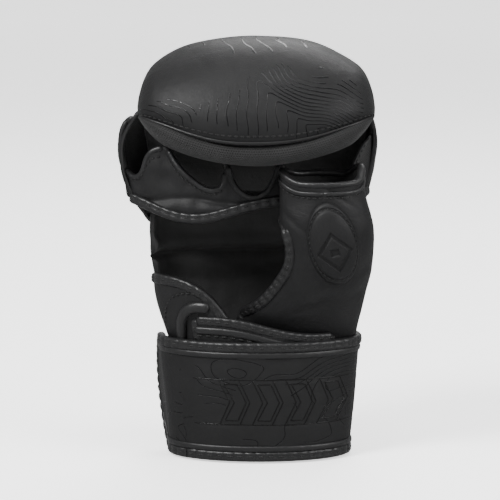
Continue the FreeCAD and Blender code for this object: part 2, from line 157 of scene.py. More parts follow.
# ------------------------------------------------------------------ materials
class Nodes:
    """Short-hand for building a material's node tree."""

    def __init__(self, name):
        self.mat = bpy.data.materials.new(name)
        self.mat.use_nodes = True
        self.tree = self.mat.node_tree
        self.bsdf = self.tree.nodes["Principled BSDF"]

    def add(self, kind, inputs=None, **props):
        n = self.tree.nodes.new(kind)
        for k, v in props.items():
            setattr(n, k, v)
        for k, v in (inputs or {}).items():
            if isinstance(v, bpy.types.NodeSocket):
                self.tree.links.new(v, n.inputs[k])
            else:
                n.inputs[k].default_value = v
        return n

    def math(self, op, a, b=0.0, c=0.0):
        return self.add("ShaderNodeMath", {0: a, 1: b, 2: c}, operation=op).outputs[0]

    def plus(self, a, b):
        return self.math("ADD", a, b)

    def minus(self, a, b):
        return self.math("SUBTRACT", a, b)

    def times(self, a, b):
        return self.math("MULTIPLY", a, b)

    def over(self, a, b):
        return self.math("DIVIDE", a, b)

    def hypot(self, a, b):
        return self.math("SQRT", self.plus(self.times(a, a), self.times(b, b)))

    def split(self, vec):
        return self.add("ShaderNodeSeparateXYZ", {0: vec}).outputs

    def mix(self, f, a, b):
        return self.add("ShaderNodeMix", {0: f, 2: a, 3: b}, data_type="FLOAT").outputs[0]

    def colour(self, f, a, b):
        return self.add("ShaderNodeMix", {0: f, 6: (*a, 1), 7: (*b, 1)}, data_type="RGBA").outputs[2]

    def ramp(self, v, lo, hi, a=0.0, b=1.0):
        given = {0: v, 1: lo, 2: hi, 3: a, 4: b}
        return self.add("ShaderNodeMapRange", given, interpolation_type="SMOOTHSTEP").outputs[0]

    def coords(self, uv):
        c = self.add("ShaderNodeTexCoord")
        if uv:
            return c.outputs["UV"]
        in_mm = {0: c.outputs["Object"], 3: 1 / MM}
        return self.add("ShaderNodeVectorMath", in_mm, operation="SCALE").outputs[0]

    def noise(self, vec, scale, detail=2.0, rough=0.5, dims="3D"):
        given = {"Vector": vec, "Scale": scale, "Detail": detail, "Roughness": rough}
        return self.add("ShaderNodeTexNoise", given, noise_dimensions=dims).outputs["Fac"]

    def bump(self, height, distance, strength=1.0, normal=None):
        given = {"Height": height, "Distance": distance, "Strength": strength}
        if normal is not None:
            given["Normal"] = normal
        return self.add("ShaderNodeBump", given).outputs[0]

    def out(self, colour=None, rough=None, normal=None, **fixed):
        fixed.setdefault("Specular_IOR_Level", PLAIN_SHINE)
        for key, v in (("Base Color", colour), ("Roughness", rough), ("Normal", normal)):
            if v is not None:
                if isinstance(v, bpy.types.NodeSocket):
                    self.tree.links.new(v, self.bsdf.inputs[key])
                else:
                    self.bsdf.inputs[key].default_value = v
        for k, v in fixed.items():
            self.bsdf.inputs[k.replace("_", " ")].default_value = v
        return self.mat


def level_lines(n, at, field, width, axes):
    """Thin lines of even width, in millimetres, along the whole-number levels of a field: 1 on a line."""
    step = 0.6

    def moved(axis):
        d = [0.0, 0.0, 0.0]
        d[axis] = step
        return field(n, n.add("ShaderNodeVectorMath", {0: at, 1: tuple(d)}, operation="ADD").outputs[0])

    h = field(n, at)
    gx, gy = (n.minus(moved(axis), h) for axis in axes)
    slope = n.hypot(gx, gy)
    slope = n.math("MAXIMUM", n.over(slope, step), 0.02)
    away = n.math("ABSOLUTE", n.minus(n.math("FRACT", h), 0.5))
    return n.ramp(n.over(away, slope), width * 0.5, width, 1.0, 0.0)


def noise_levels(scale, count, seed, stretch=(1.0, 1.0)):
    """A field of smooth noise with about that many levels."""
    def field(n, at):
        given = {0: at, 1: (stretch[0], stretch[1], 1), 2: (seed, seed * 0.7, 0)}
        moved = n.add("ShaderNodeVectorMath", given, operation="MULTIPLY_ADD").outputs[0]
        return n.times(n.noise(moved, scale, 1.2, 0.4, "2D"), float(count))
    return field


def within(n, at, cx, cz, rx, rz, rough=0.25):
    """1 inside a ragged ellipse on the front face."""
    sep = n.split(at)
    x = n.over(n.minus(sep[0], cx), rx)
    z = n.over(n.minus(sep[2], cz), rz)
    r = n.hypot(x, z)
    r = n.plus(r, n.times(n.minus(n.noise(at, 0.05, 0.0), 0.5), rough * 4))
    return n.ramp(r, 0.97, 1.0, 1.0, 0.0)


def leather(name, base=0.0065, rough=0.50, lines=None, grain=1.0, shine=PLAIN_SHINE):
    """Matte coated leather: fine pebble grain, soft mottling, faint creases, and any gloss lines given."""
    n = Nodes(name)
    vec = n.coords(True)
    cells = n.add("ShaderNodeTexVoronoi", {"Vector": vec, "Scale": 1.15}, feature="DISTANCE_TO_EDGE")
    pebble = n.ramp(cells.outputs["Distance"], 0.0, 0.22)
    fine = n.noise(vec, 2.6, 4.0, 0.6)
    crease = n.noise(vec, 0.16, 5.0, 0.62)
    broad = n.noise(vec, 0.045, 2.0, 0.5)
    tone = n.plus(n.times(broad, 0.7), n.times(fine, 0.3))
    colour = n.colour(tone, (base * 0.72, base * 0.72, base * 0.76), (base * 1.35, base * 1.35, base * 1.38))
    gloss = n.plus(n.times(crease, 0.14), n.times(pebble, -0.05))
    r = n.plus(gloss, rough - 0.03)
    height = n.plus(n.times(pebble, 0.5), n.times(fine, 0.35))
    normal = n.bump(crease, 0.0011, 0.35)
    normal = n.bump(height, 0.00012 * grain, 0.55, normal)
    if lines:
        marks = lines(n, vec)
        inked = {0: marks, 6: colour, 7: (0.0025, 0.0025, 0.0027, 1)}
        dark = n.add("ShaderNodeMix", inked, data_type="RGBA").outputs[2]
        r = n.mix(marks, r, 0.16)
        normal = n.bump(marks, 0.00012, 0.6, normal)
        return n.out(dark, r, normal)
    return n.out(colour, r, normal, Specular_IOR_Level=shine)


def woven(name, base=0.012, pitch=1.0, depth=0.0003, rough=0.85):
    """Brushed lining cloth: a plain weave that fades in and out, with fuzz."""
    n = Nodes(name)
    vec = n.coords(True)
    sep = n.split(vec)
    k = 2 * math.pi / pitch
    a = n.math("SINE", n.times(sep[0], k))
    b = n.math("SINE", n.times(sep[1], k))
    weave = n.times(n.plus(n.times(a, b), 1.0), 0.5)
    fluff = n.noise(vec, 1.4, 5.0, 0.7)
    drawn = n.add("ShaderNodeVectorMath", {0: vec, 1: (0.05, 0.6, 0.3)}, operation="MULTIPLY").outputs[0]
    streak = n.noise(drawn, 1.0, 3.0)
    patch = n.noise(vec, 0.07, 3.0, 0.6)
    tone = n.plus(n.times(fluff, 0.45), n.times(n.plus(streak, patch), 0.3))
    colour = n.colour(tone, (base * 0.5,) * 3, (base * 2.0,) * 3)
    height = n.plus(n.times(weave, 0.6), n.times(fluff, 0.8))
    normal = n.bump(n.noise(vec, 0.12, 4.0, 0.6), 0.0016, 0.5)
    normal = n.bump(height, depth, 0.8, normal)
    return n.out(colour, rough, normal, Sheen_Weight=0.04, Sheen_Roughness=0.5)


def knit(name, base=0.009, pitch=1.5):
    """Air-mesh knit: rows of small round holes, staggered, between raised yarn; the holes are painted dark as
    shade.
    """
    n = Nodes(name)
    vec = n.coords(True)
    sep = n.split(vec)
    row = n.over(sep[1], pitch * 0.8)
    odd = n.times(n.math("MODULO", n.math("ABSOLUTE", n.math("FLOOR", row)), 2.0), 0.5)
    u = n.minus(n.math("FRACT", n.plus(n.over(sep[0], pitch), odd)), 0.5)
    v = n.minus(n.math("FRACT", row), 0.5)
    away = n.hypot(u, v)
    yarn = n.ramp(away, 0.16, 0.36)
    fluff = n.noise(vec, 2.2, 4.0, 0.7)
    patch = n.noise(vec, 0.06, 2.0, 0.5)
    # painted shade: the holes get the darkest colour, as shade in them; the yarn's own tone varies at random
    # with the fluff and patch noise
    tone = n.times(yarn, n.plus(n.times(fluff, 0.6), n.times(patch, 0.6)))
    colour = n.colour(tone, (base * 0.25,) * 3, (base * 1.9,) * 3)
    normal = n.bump(n.noise(vec, 0.1, 3.0, 0.6), 0.0014, 0.4)
    normal = n.bump(n.plus(yarn, n.times(fluff, 0.3)), 0.00045, 0.9, normal)
    return n.out(colour, 0.72, normal, Sheen_Weight=0.03, Sheen_Roughness=0.5)


def pile(name, base=0.012, scale=1.1, depth=0.0007, rough=0.9):
    """Hook or loop tape: a dense field of tiny tufts, painted darker between them and lighter on their tops
    as shade.
    """
    n = Nodes(name)
    vec = n.coords(False)
    tuft = n.add("ShaderNodeTexVoronoi", {"Vector": vec, "Scale": scale}, feature="F1").outputs["Distance"]
    fluff = n.noise(vec, 1.9, 5.0, 0.7)
    height = n.minus(n.times(fluff, 0.9), tuft)
    # painted shade: colour follows the tufts' height, darker low between them and lighter on top
    colour = n.colour(n.ramp(height, -0.5, 0.6), (base * 0.35,) * 3, (base * 2.2,) * 3)
    return n.out(colour, rough, n.bump(height, depth, 0.9), Sheen_Weight=0.06, Sheen_Roughness=0.4)


def thread(name, base=0.012):
    """Bonded thread: a twisted, slightly waxy strand, painted darker in the grooves of its twist and lighter
    on its ridges as shade.
    """
    n = Nodes(name)
    vec = n.coords(True)
    sep = n.split(vec)
    lay = n.math("SINE", n.plus(n.times(sep[0], 5.5), n.times(sep[1], 2.4)))
    # painted shade: darker in the twist's grooves and lighter on its ridges, following the bump
    tone = n.times(n.plus(lay, 1.0), 0.5)
    colour = n.colour(tone, (base * 0.6,) * 3, (base * 1.3,) * 3)
    return n.out(colour, n.mix(tone, 0.5, 0.38), n.bump(lay, 0.00012, 0.8))


def bent_field(n, at):
    """Levels that run down to the right, then turn sharply down, one inside another."""
    sway = n.noise(at, 0.03, 0.0, 0.4)
    ripple = n.noise(at, 0.07, 0.0, 0.4)
    sep = n.split(at)
    x = n.plus(sep[0], n.times(n.minus(ripple, 0.5), 5.0))
    z = n.plus(sep[2], n.times(n.minus(sway, 0.5), 22.0))
    over = n.over(n.plus(n.times(x, 0.40), n.minus(z, 204.0)), 2.6)
    side = n.over(n.minus(52.0, x), 5.6)
    return n.math("SMOOTH_MAX", over, side, 1.2)


def arc_field(n, at):
    """Levels round a low corner of the pad."""
    sep = n.split(at)
    sway = n.times(n.minus(n.noise(at, 0.06, 1.0), 0.5), 14.0)
    x = n.over(n.plus(n.plus(sep[0], 66.0), sway), 1.7)
    z = n.minus(sep[2], 199.0)
    return n.over(n.hypot(x, z), 3.0)


def tick_field(n, at):
    """Levels that lean along the top of the pad."""
    sep = n.split(at)
    sway = n.times(n.noise(at, 0.05, 1.0), 16.0)
    return n.over(n.plus(n.plus(sep[0], n.times(sep[2], 1.3)), sway), 12.0)


def pad_print(n, uv):
    """Gloss contour print: bent lines right of the middle, arcs low on the left, and ticks along the top."""
    at = n.coords(False)
    front = n.ramp(n.split(at)[1], -12.0, -8.0, 1.0, 0.0)
    bent = n.times(level_lines(n, at, bent_field, 0.36, (0, 2)), within(n, at, 15, 215, 43, 19))
    arcs = n.times(level_lines(n, at, arc_field, 0.34, (0, 2)), within(n, at, -54, 207, 17, 9, 0.15))
    ticks = n.times(level_lines(n, at, tick_field, 0.42, (0, 2)), within(n, at, 0, 252, 78, 9, 0.3))
    back = n.times(level_lines(n, uv, noise_levels(0.0135, 34, 37.0, (1.0, 1.35)), 0.34, (0, 1)),
                  n.ramp(n.noise(uv, 0.02, 1.0, 0.4, "2D"), 0.5, 0.515))
    shown = n.math("MAXIMUM", n.times(n.math("MAXIMUM", bent, arcs), front), ticks)
    return n.math("MAXIMUM", shown, n.times(back, n.minus(1.0, front)))


def strap_print(n, uv):
    """Gloss contour print in patches along the strap."""
    lines = level_lines(n, uv, noise_levels(0.02, 15, 11.0, (0.8, 1.2)), 0.3, (0, 1))
    return n.times(lines, n.ramp(n.noise(uv, 0.028, 1.0, 0.4, "2D"), 0.47, 0.482))


M_LEATHER = leather("black_leather")
M_BINDING = leather("binding_leather", base=0.0075, rough=0.36, grain=0.7, shine=0.3)
M_PAD = leather("printed_pad_leather", lines=pad_print)
M_STRAP = leather("printed_strap_leather", lines=strap_print)
M_LINING = woven("lining_cloth")
M_KNIT = knit("air_mesh_knit")
M_LOOP = pile("loop_tape")
M_HOOK = pile("hook_tape", base=0.016, scale=0.8, rough=0.45)
M_THREAD = thread("black_thread")


def gloss_print():
    """Shiny black ink of the strap's lines and outlines."""
    n = Nodes("gloss_print")
    vec = n.coords(True)
    flow = n.noise(vec, 0.5, 3.0, 0.5)
    colour = n.colour(flow, (0.003,) * 3, (0.006,) * 3)
    return n.out(colour, n.mix(flow, 0.12, 0.2), n.bump(flow, 0.0001, 0.4))


M_GLOSS = gloss_print()
SKIN = (M_LEATHER, M_LINING)

# ------------------------------------------------------------------ meshes
# Bends meant between two bodies: (first body, second, start of the bend, end of the bend), in metres; place()
# only bakes a piece's transform for these, and nothing here makes it bend.
BACK = ("hand", "knuckle", (0, 0.022, 0.119), (0, 0.022, 0.137))
WEB = ("hand", "thumb", (0.04, -0.02, 0.086), (0.04, -0.02, 0.116))
PEEL = ("hand", "strap_front", (0.0585, 0.004, 0.036), (0.0555, -0.024, 0.036))
TIP = ("strap_front", "strap_tip", (-0.0485, -0.0225, 0.036), (-0.0560, -0.008, 0.036))
TAB = ("hand", "tab", (0.053, -0.013, 0.046), (0.038, -0.027, 0.046))


def place(o, on, stands_for=()):
    """Rides on a body named on; given a tuple from above, only has its transform baked into its mesh."""
    if isinstance(on, str):
        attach(o, on)
    else:
        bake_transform(o)
    if stands_for:
        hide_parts(*stands_for)
    return o


def mesh_object(name, verts, faces, uvs, mats, face_mats=None):
    """Object from vertices in millimetres, faces, and UVs in millimetres per face corner."""
    me = bpy.data.meshes.new(name)
    points = [tuple(v) for v in np.asarray(verts, float) * MM]
    me.from_pydata(points, [], [tuple(int(i) for i in f) for f in faces])
    layer = me.uv_layers.new(name="UVMap")
    layer.data.foreach_set("uv", np.asarray(uvs, np.float32).ravel())
    for m in mats:
        me.materials.append(m)
    if face_mats is not None:
        me.polygons.foreach_set("material_index", np.asarray(face_mats, np.int32))
    me.polygons.foreach_set("use_smooth", np.ones(len(me.polygons), bool))
    me.update()
    o = bpy.data.objects.new(name, me)
    bpy.context.scene.collection.objects.link(o)
    return o


def arc_lengths(p, axis, wrap):
    """Length along an axis of a grid, averaged over the other one."""
    d = np.linalg.norm(np.diff(p, axis=axis), axis=-1).mean(axis=1 - axis)
    s = np.concatenate([[0], np.cumsum(d)])
    if wrap:
        a, b = (p[0], p[-1]) if axis == 0 else (p[:, 0], p[:, -1])
        s = np.append(s, s[-1] + np.linalg.norm(a - b, axis=-1).mean())
    return s


def grid(name, p, mats, wrap_u=False, wrap_v=False, flip=False, weld=True, pick=None, uv_origin=(0, 0)):
    """Mesh through a grid of points [u][v], with UVs in millimetres; pick(j) chooses a column's material."""
    p = np.asarray(p, float)
    nu, nv = p.shape[:2]
    us, vs = arc_lengths(p, 0, wrap_u) + uv_origin[0], arc_lengths(p, 1, wrap_v) + uv_origin[1]
    cells = np.arange(nu if wrap_u else nu - 1), np.arange(nv if wrap_v else nv - 1)
    i, j = (c.ravel() for c in np.meshgrid(*cells, indexing="ij"))
    i2, j2 = (i + 1) % nu, (j + 1) % nv
    faces = np.stack([i * nv + j, i2 * nv + j, i2 * nv + j2, i * nv + j2], 1)
    corners = (i, j), (i + 1, j), (i + 1, j + 1), (i, j + 1)
    uv = np.stack([np.stack([us[a], vs[b]], 1) for a, b in corners], 1)
    if flip:
        faces, uv = faces[:, ::-1], uv[:, ::-1]
    picks = None if pick is None else [pick(int(c)) for c in j]
    mats = mats if isinstance(mats, list) else [mats]
    o = mesh_object(name, p.reshape(-1, 3), faces, uv.reshape(-1, 2), mats, picks)
    if weld:
        b = bmesh.new()
        b.from_mesh(o.data)
        bmesh.ops.remove_doubles(b, verts=b.verts, dist=0.00002)
        b.to_mesh(o.data)
        b.free()
    return o


def settle(obj, seam=None, cap=1.4):
    """Lets a padded piece's skin settle as cloth filled with air, then moves it by at most cap millimetres.

    The cloth is a remeshed copy, and its movement is carried over, so the piece keeps its seams and texture.
    seam gives how free each of the piece's own vertices is, from 0 at a seam to 1.
    """
    scene = bpy.context.scene
    copy = bpy.data.objects.new(obj.name + "_cloth", obj.data.copy())
    scene.collection.objects.link(copy)
    bpy.context.view_layer.objects.active = copy
    remesh = copy.modifiers.new("remesh", "REMESH")
    remesh.mode = "VOXEL"
    remesh.voxel_size = 0.005
    bpy.ops.object.modifier_apply(modifier=remesh.name)
    rest = np.array([v.co[:] for v in copy.data.vertices])
    cloth = copy.modifiers.new("cloth", "CLOTH")
    cloth.settings.use_pressure = True
    cloth.settings.uniform_pressure_force = 4.0
    cloth.settings.effector_weights.gravity = 0.0
    cloth.settings.tension_stiffness = 40
    cloth.settings.bending_stiffness = 6
    for f in range(1, 21):
        scene.frame_set(f)
    seen = copy.evaluated_get(bpy.context.evaluated_depsgraph_get()).data
    moved = np.array([v.co[:] for v in seen.vertices]) - rest
    scene.frame_set(1)
    size = np.linalg.norm(moved, axis=1)[:, None] + 1e-9
    moved = moved / size * cap * MM * np.tanh(size / (cap * MM))
    tree = kdtree.KDTree(len(rest))
    for k, c in enumerate(rest):
        tree.insert(c, k)
    tree.balance()
    for v in obj.data.vertices:
        near = tree.find_n(v.co, 6)
        w = np.array([1.0 / (d + 0.002) for _, _, d in near])
        push = (moved[[k for _, k, _ in near]] * w[:, None]).sum(0) / w.sum()
        free = 1.0 if seam is None else seam(np.array(v.co) / MM)
        v.co = v.co + Vector(push * free)
    bpy.data.objects.remove(copy)
    obj.data.update()
    return obj


def shell(name, outer, inner, mats, on, stands_for=(), ends=(True, True)):
    """Closed skin between two grids of points [u][v], with half-round edges.

    mats is one material, or one outside and one inside. ends says which ends along u are closed.
    """
    outer, inner = np.asarray(outer, float), np.asarray(inner, float)
    nv = outer.shape[1]

    def turn(a, b, prev):
        m, h = (a + b) / 2, (a - b) / 2
        r = np.linalg.norm(h) + 1e-9
        d = a - prev
        d = d - h * (d @ h) / r ** 2
        d = d / (np.linalg.norm(d) + 1e-9)
        return [m + h * math.cos(t) + d * r * math.sin(t) for t in np.radians(np.linspace(0, 180, 9)[1:-1])]

    def section(o, i):
        return np.concatenate([o, turn(o[-1], i[-1], o[-2]), i[::-1], turn(i[0], o[0], i[1])])

    rows = [section(o, i) for o, i in zip(outer, inner)]
    for last in (False, True):
        if not ends[1 if last else 0]:
            continue
        o, i = (outer[-1], inner[-1]) if last else (outer[0], inner[0])
        away = o - (outer[-2] if last else outer[1])
        away = away / (np.linalg.norm(away, axis=1)[:, None] + 1e-9)
        m, h = (o + i) / 2, (o - i) / 2
        r = np.linalg.norm(h, axis=1)[:, None]
        caps = [section(m + h * k + away * r * c, m - h * k + away * r * c)
                for k, c in ((math.sin(q), math.cos(q)) for q in np.radians((70, 46, 24, 3)))]
        rows = rows + caps if last else caps[::-1] + rows
    pick = None
    if isinstance(mats, tuple):
        pick = lambda c: 1 if nv + 3 <= c < 2 * nv + 10 else 0
        mats = list(mats)
    o = grid(name, np.array(rows), mats, wrap_v=True, pick=pick)
    return place(o, on, stands_for)


def field(surf, us, vs, off):
    """Grid of points on a surface. vs is one row, or one for each u. off is a number or takes u and v."""
    v = np.asarray(vs, float)
    u = np.asarray(us, float)[:, None] + 0 * v
    v = v + 0 * u
    return surf(u, v, off(u, v) if callable(off) else off)


def stretched(p, n):
    """n points spread evenly over the rows of p."""
    where, given = np.linspace(0, 1, n), np.linspace(0, 1, len(p))
    return np.stack([np.interp(where, given, p[:, i]) for i in range(3)], 1)


def frames_of(pts, nrm):
    """Tangent, normal and sideways unit vectors along a path."""
    t = np.gradient(pts, axis=0)
    t /= np.linalg.norm(t, axis=1)[:, None] + 1e-9
    n = nrm - (nrm * t).sum(1)[:, None] * t
    n /= np.linalg.norm(n, axis=1)[:, None] + 1e-9
    return t, n, np.cross(t, n)


def resample(pts, nrm, step):
    """A path and its normals again at even steps, with the length run at each."""
    s = np.concatenate([[0], np.cumsum(np.linalg.norm(np.diff(pts, axis=0), axis=1))])
    m = max(8, int(s[-1] / step))
    q = np.linspace(0, s[-1], m)
    return (np.stack([np.interp(q, s, pts[:, i]) for i in range(3)], 1),
            np.stack([np.interp(q, s, nrm[:, i]) for i in range(3)], 1), q)


FAR = 99.0              # further than any rounded end reaches


def roll(name, pts, nrm, width, height, mat, on, slot=None, stands_for=(), pitch=0.0, pinch=0.12, groove=0.0,
         groove_at=90.0, ends=True, step=0.8, lift=0.0):
    """A rolled or bound edge along a path on a surface, pinched at each stitch, with a sunk stitch line."""
    pts, nrm, s = resample(np.asarray(pts, float), np.asarray(nrm, float), step)
    _, n, b = frames_of(pts, nrm)
    a = np.linspace(0, 2 * np.pi, 25)[:-1]
    size = np.ones(len(pts))
    first, last = ends if isinstance(ends, tuple) else (ends, ends)
    if first or last:
        r = height * 0.6
        reach = np.minimum(s if first else s + FAR, s[-1] - s if last else FAR)
        size = np.sqrt(np.clip(1 - (1 - np.clip(reach / r, 0, 1)) ** 2, 0.0, 1))
        size = np.maximum(size, 0.02)
    bulge = np.ones(len(pts))
    if pitch:
        bulge = 1 - pinch * (0.5 + 0.5 * np.cos(2 * np.pi * s / pitch)) ** 3
    ca, sa = np.cos(a), np.sin(a)
    power = 0.8
    ex = np.sign(ca) * np.abs(ca) ** power
    ey = np.sign(sa) * np.abs(sa) ** power
    off = np.degrees(np.arccos(np.clip(np.cos(a - math.radians(groove_at)), -1, 1)))
    dip = 1 - groove * np.exp(-(off / 16.0) ** 2)
    x = (width / 2 * size)[:, None] * ex * dip
    y = (height / 2 * size * bulge)[:, None] * ey * dip
    p = pts[:, None] + b[:, None] * x[..., None] + n[:, None] * (y + lift)[..., None]
    o = grid(name, p, mat, wrap_v=True)
    return place(o, on, stands_for)


def stitches(name, pts, nrm, pitch, length, radius, on, lift=0.0, shift=0.0, sink=0.35, slant=0.0, start=0.5):
    """A row of separate thread stitches along a path, their ends dipping into the leather."""
    pts, nrm, s = resample(np.asarray(pts, float), np.asarray(nrm, float), 0.5)
    _, n, b = frames_of(pts, nrm)
    count = int(s[-1] / pitch)
    verts, faces, uvs = [], [], []
    girth = np.linspace(0, 2 * np.pi, 7)[:-1]
    m = len(girth)
    stations = np.linspace(-1, 1, 7)
    for k in range(count):
        centre = (k + start) * pitch
        if centre + length / 2 > s[-1]:
            break
        base = len(verts)
        for q in stations:
            at = centre + q * length / 2
            c, nn, bb = (np.array([np.interp(at, s, rows[:, i]) for i in range(3)]) for rows in (pts, n, b))
            r = radius * math.sqrt(max(0.0, 1 - abs(q) ** 4)) + 0.02
            c = c + nn * (lift - sink * q * q * radius * 2) + bb * (shift + slant * q * length / 2)
            for a in girth:
                verts.append(c + bb * math.cos(a) * r * 1.15 + nn * math.sin(a) * r)
        for i in range(len(stations) - 1):
            for j in range(m):
                j2 = (j + 1) % m
                here, there = base + i * m, base + (i + 1) * m
                faces.append((here + j, here + j2, there + j2, there + j))
                u0, u1 = centre + stations[i] * length / 2, centre + stations[i + 1] * length / 2
                uvs += [(u0, j), (u0, j + 1), (u1, j + 1), (u1, j)]
    o = mesh_object(name, verts, faces, uvs, [M_THREAD])
    return place(o, on)


def on_surface(surf, us, vs, off=0.0):
    """Points and outward normals of a path on a surface."""
    p = surf(np.asarray(us, float), np.asarray(vs, float), off)
    q = surf(np.asarray(us, float), np.asarray(vs, float), off + 1.0)
    d = q - p
    return p, unit(d)


def binding(name, pts, nrm, width, height, on, stands_for=(), **how):
    return roll(name, pts, nrm, width, height, M_BINDING, on, "binding_leather", stands_for, **how)


def bound_edge(name, pts, nrm, on, width=5.5, height=4.4, stands_for=(), pitch=6.0, row=0.0, lift=0.6):
    """A bound edge: a rolled binding with one line of large stitches sunk into it."""
    binding(name, pts, nrm, width, height, on, stands_for, pitch=pitch, pinch=0.2,
            groove=0.22, groove_at=90.0 - math.degrees(math.atan2(row, height / 2)), lift=lift)
    stitches(name + "_stitches", pts, nrm, pitch, 3.6, 0.55, on, lift=lift + height / 2 * 0.80, shift=row)


# ------------------------------------------------------------------ back of the hand
BACK_A = (-14.0, 185.0)         # ellipse angles of the back panel's two sides
BACK_SEAMS = (32.0, 150.0)      # ellipse angles of the seams that run up the back
BACK_CHANNELS = (98.0, 76.0)    # heights of the quilting channels that run across it


def back_part(a):
    return (a - BACK_A[0]) / (BACK_A[1] - BACK_A[0])


def back_out(z, a):
    quilt = (1 - gauss(z, FLEX_Z, 3.0)) * (1 - gauss(z, 98, 2.2)) * (1 - 0.8 * gauss(z, 76, 2.2))
    sides = (1 - gauss(a, 32, 4)) * (1 - gauss(a, 150, 4))
    edge = np.sin(np.pi * np.clip(back_part(a), 0, 1)) ** 0.9
    return 2.6 * quilt * sides * edge - 0.6 - 2.4 * gauss(z, FLEX_Z, 3.4) * edge


def back_in(z, a):
    f = back_part(a)
    deep = 3.2 + 8.6 * smooth(f, 0.05, 0.3) * smooth(1 - f, 0.05, 0.3)
    crease = 4.2 * gauss(z, 118, 2.4) - 3.0 * gauss(z, 124, 4.5) - 1.4 * gauss(z, 111, 5)
    return -deep + crease * smooth(f, 0, 0.2) + 0.9 * gauss(z, 106 + 5 * np.sin(a / 25), 2.5)


BACK_Z = np.concatenate([np.linspace(64, 112, 26), np.linspace(113.2, 141, 40), np.linspace(142.4, 156, 11)])
BACK_V = np.linspace(BACK_A[0], BACK_A[1], 110)
o_grid, i_grid = field(hand_at, BACK_Z, BACK_V, back_out), field(hand_at, BACK_Z, BACK_V, back_in)
i_grid = rumpled(i_grid, 11.0, 4.0, (0, 0.5, 0))
hand_back = shell("hand_back", o_grid, i_grid, SKIN, BACK,
                  ("hand_back_shell", "hand_back_padding", "hand_back_lining", "knuckle_back_shell",
                   "knuckle_back_padding", "knuckle_back_lining"))
for k, a in enumerate(BACK_SEAMS):
    p, n = on_surface(hand_at, np.linspace(68, 154, 60), np.full(60, a), 0.1)
    stitches(f"back_seam_{k}", p, n, 4.2, 3.0, 0.38, BACK, lift=-0.3)
for k, z in enumerate(BACK_CHANNELS):
    p, n = on_surface(hand_at, np.full(80, z), np.linspace(8, 172, 80), 0.1)
    stitches(f"back_channel_{k}", p, n, 4.2, 3.0, 0.38, BACK, lift=-0.4)

# ------------------------------------------------------------------ heel of the palm

def heel_top(a):
    """Height of the heel panel's edge at each ellipse angle, found by repeated halving."""
    z = np.full_like(a, 110.0)
    for _ in range(12):
        z = 0.5 * z + 0.5 * np.interp(hand(a, z, 0.5)[..., 0], HEEL_T[:, 0], HEEL_T[:, 1])
    return z


HEEL_LOW = 58           # hidden under the strap
HEEL_A = np.linspace(-176, -24, 84)
HEEL_ROOF = heel_top(HEEL_A)
heel_rows = np.linspace(0, 1, 34)[:, None]
heel_z = HEEL_LOW + (HEEL_ROOF[None] - HEEL_LOW) * heel_rows
heel_a = np.broadcast_to(HEEL_A[None], heel_z.shape)
heel_puff = 1.6 * np.sin(np.pi * np.clip((heel_z - 66) / np.maximum(HEEL_ROOF - 66, 1), 0, 1)) ** 0.6
slot_dent = -1.6 * gauss(hand(heel_a, heel_z)[..., 0], -37, 7) * gauss(heel_z, 78, 8)
o_grid = hand(heel_a, heel_z, 0.4 + heel_puff + slot_dent)
o_grid = rumpled(o_grid, 9.0, 1.0, (0, 0.45, 0))
i_grid = hand(heel_a, heel_z, -3.2)
shell("heel_panel_leather", o_grid, i_grid, SKIN, "hand", ("heel_panel", "thenar_panel"))
sel = HEEL_A < -97
p, n = on_surface(hand, HEEL_A[sel], HEEL_ROOF[sel], -0.6)
p, n = natural_spline(p[::4], 120), stretched(n, 120)
bound_edge("heel_edge", p, n, "hand", 6.2, 5.2, ("heel_binding", "thenar_binding"), row=-0.4, lift=0.6)


def hand_front(x, z, w):
    """Palm side of the hand at an x."""
    cx, a = (np.interp(z, HAND_T[:, 0], HAND_T[:, i]) for i in (1, 3))
    return hand(-np.degrees(np.arccos(np.clip((x - cx) / a, -1, 1))), z, w)


slot_xz = natural_spline([(-44.6, 64), (-44.6, 74), (-44.4, 83), (-41, 89.5), (-35, 91.6), (-28.5, 91)], 60)
p, n = on_surface(hand_front, slot_xz[:, 0], slot_xz[:, 1], 1.0)
binding("slot_edge", p, n, 6.6, 5.2, "hand", ("slot_rim",), lift=0.4)
slot_row = natural_spline([(-53.5, 78), (-53.5, 88), (-50, 96), (-42, 99.5), (-33.5, 99)], 60)
p, n = on_surface(hand_front, slot_row[:, 0], slot_row[:, 1], 2.2)
stitches("slot_stitches", p, n, 3.6, 2.5, 0.4, "hand", lift=-0.1)

# ------------------------------------------------------------------ thumb sleeve

def thumb_frame(z):
    return [np.interp(z, THUMB_T[:, 0], THUMB_T[:, i]) for i in (1, 2, 3, 4)]


def thumb_left(z):
    """Ellipse angle of the sleeve's open edge, which closes behind the thumb higher up."""
    cx, _, a, _ = thumb_frame(z)
    x = np.interp(z, EDGE_T[:, 1], EDGE_T[:, 0])
    open_edge = -np.degrees(np.arccos(np.clip((x - cx) / a, -0.995, 1)))
    return open_edge + (-269.0 - open_edge) * smooth(z, 141, 154)


def thumb_right(z):
    """Ellipse angle of the sleeve's other edge, where it meets the hand."""
    _, cy, _, b = thumb_frame(z)
    low = np.degrees(np.arcsin(np.clip((-2 - cy) / b, -1, 0.99)))
    return low + (89.0 - low) * smooth(z, 118, 132)


def mouth_height(p):
    """Height of the thumb opening's rim over each point of the sleeve."""
    tilt = (p[..., 1] + 56) * 0.12
    left = 4.5 * np.clip((24 - p[..., 0]) / 12, 0, 1) ** 2
    right = 9.0 * smooth(p[..., 0], 50, 64) * smooth(p[..., 1], -52, -34)
    return 167.0 + tilt + left + right


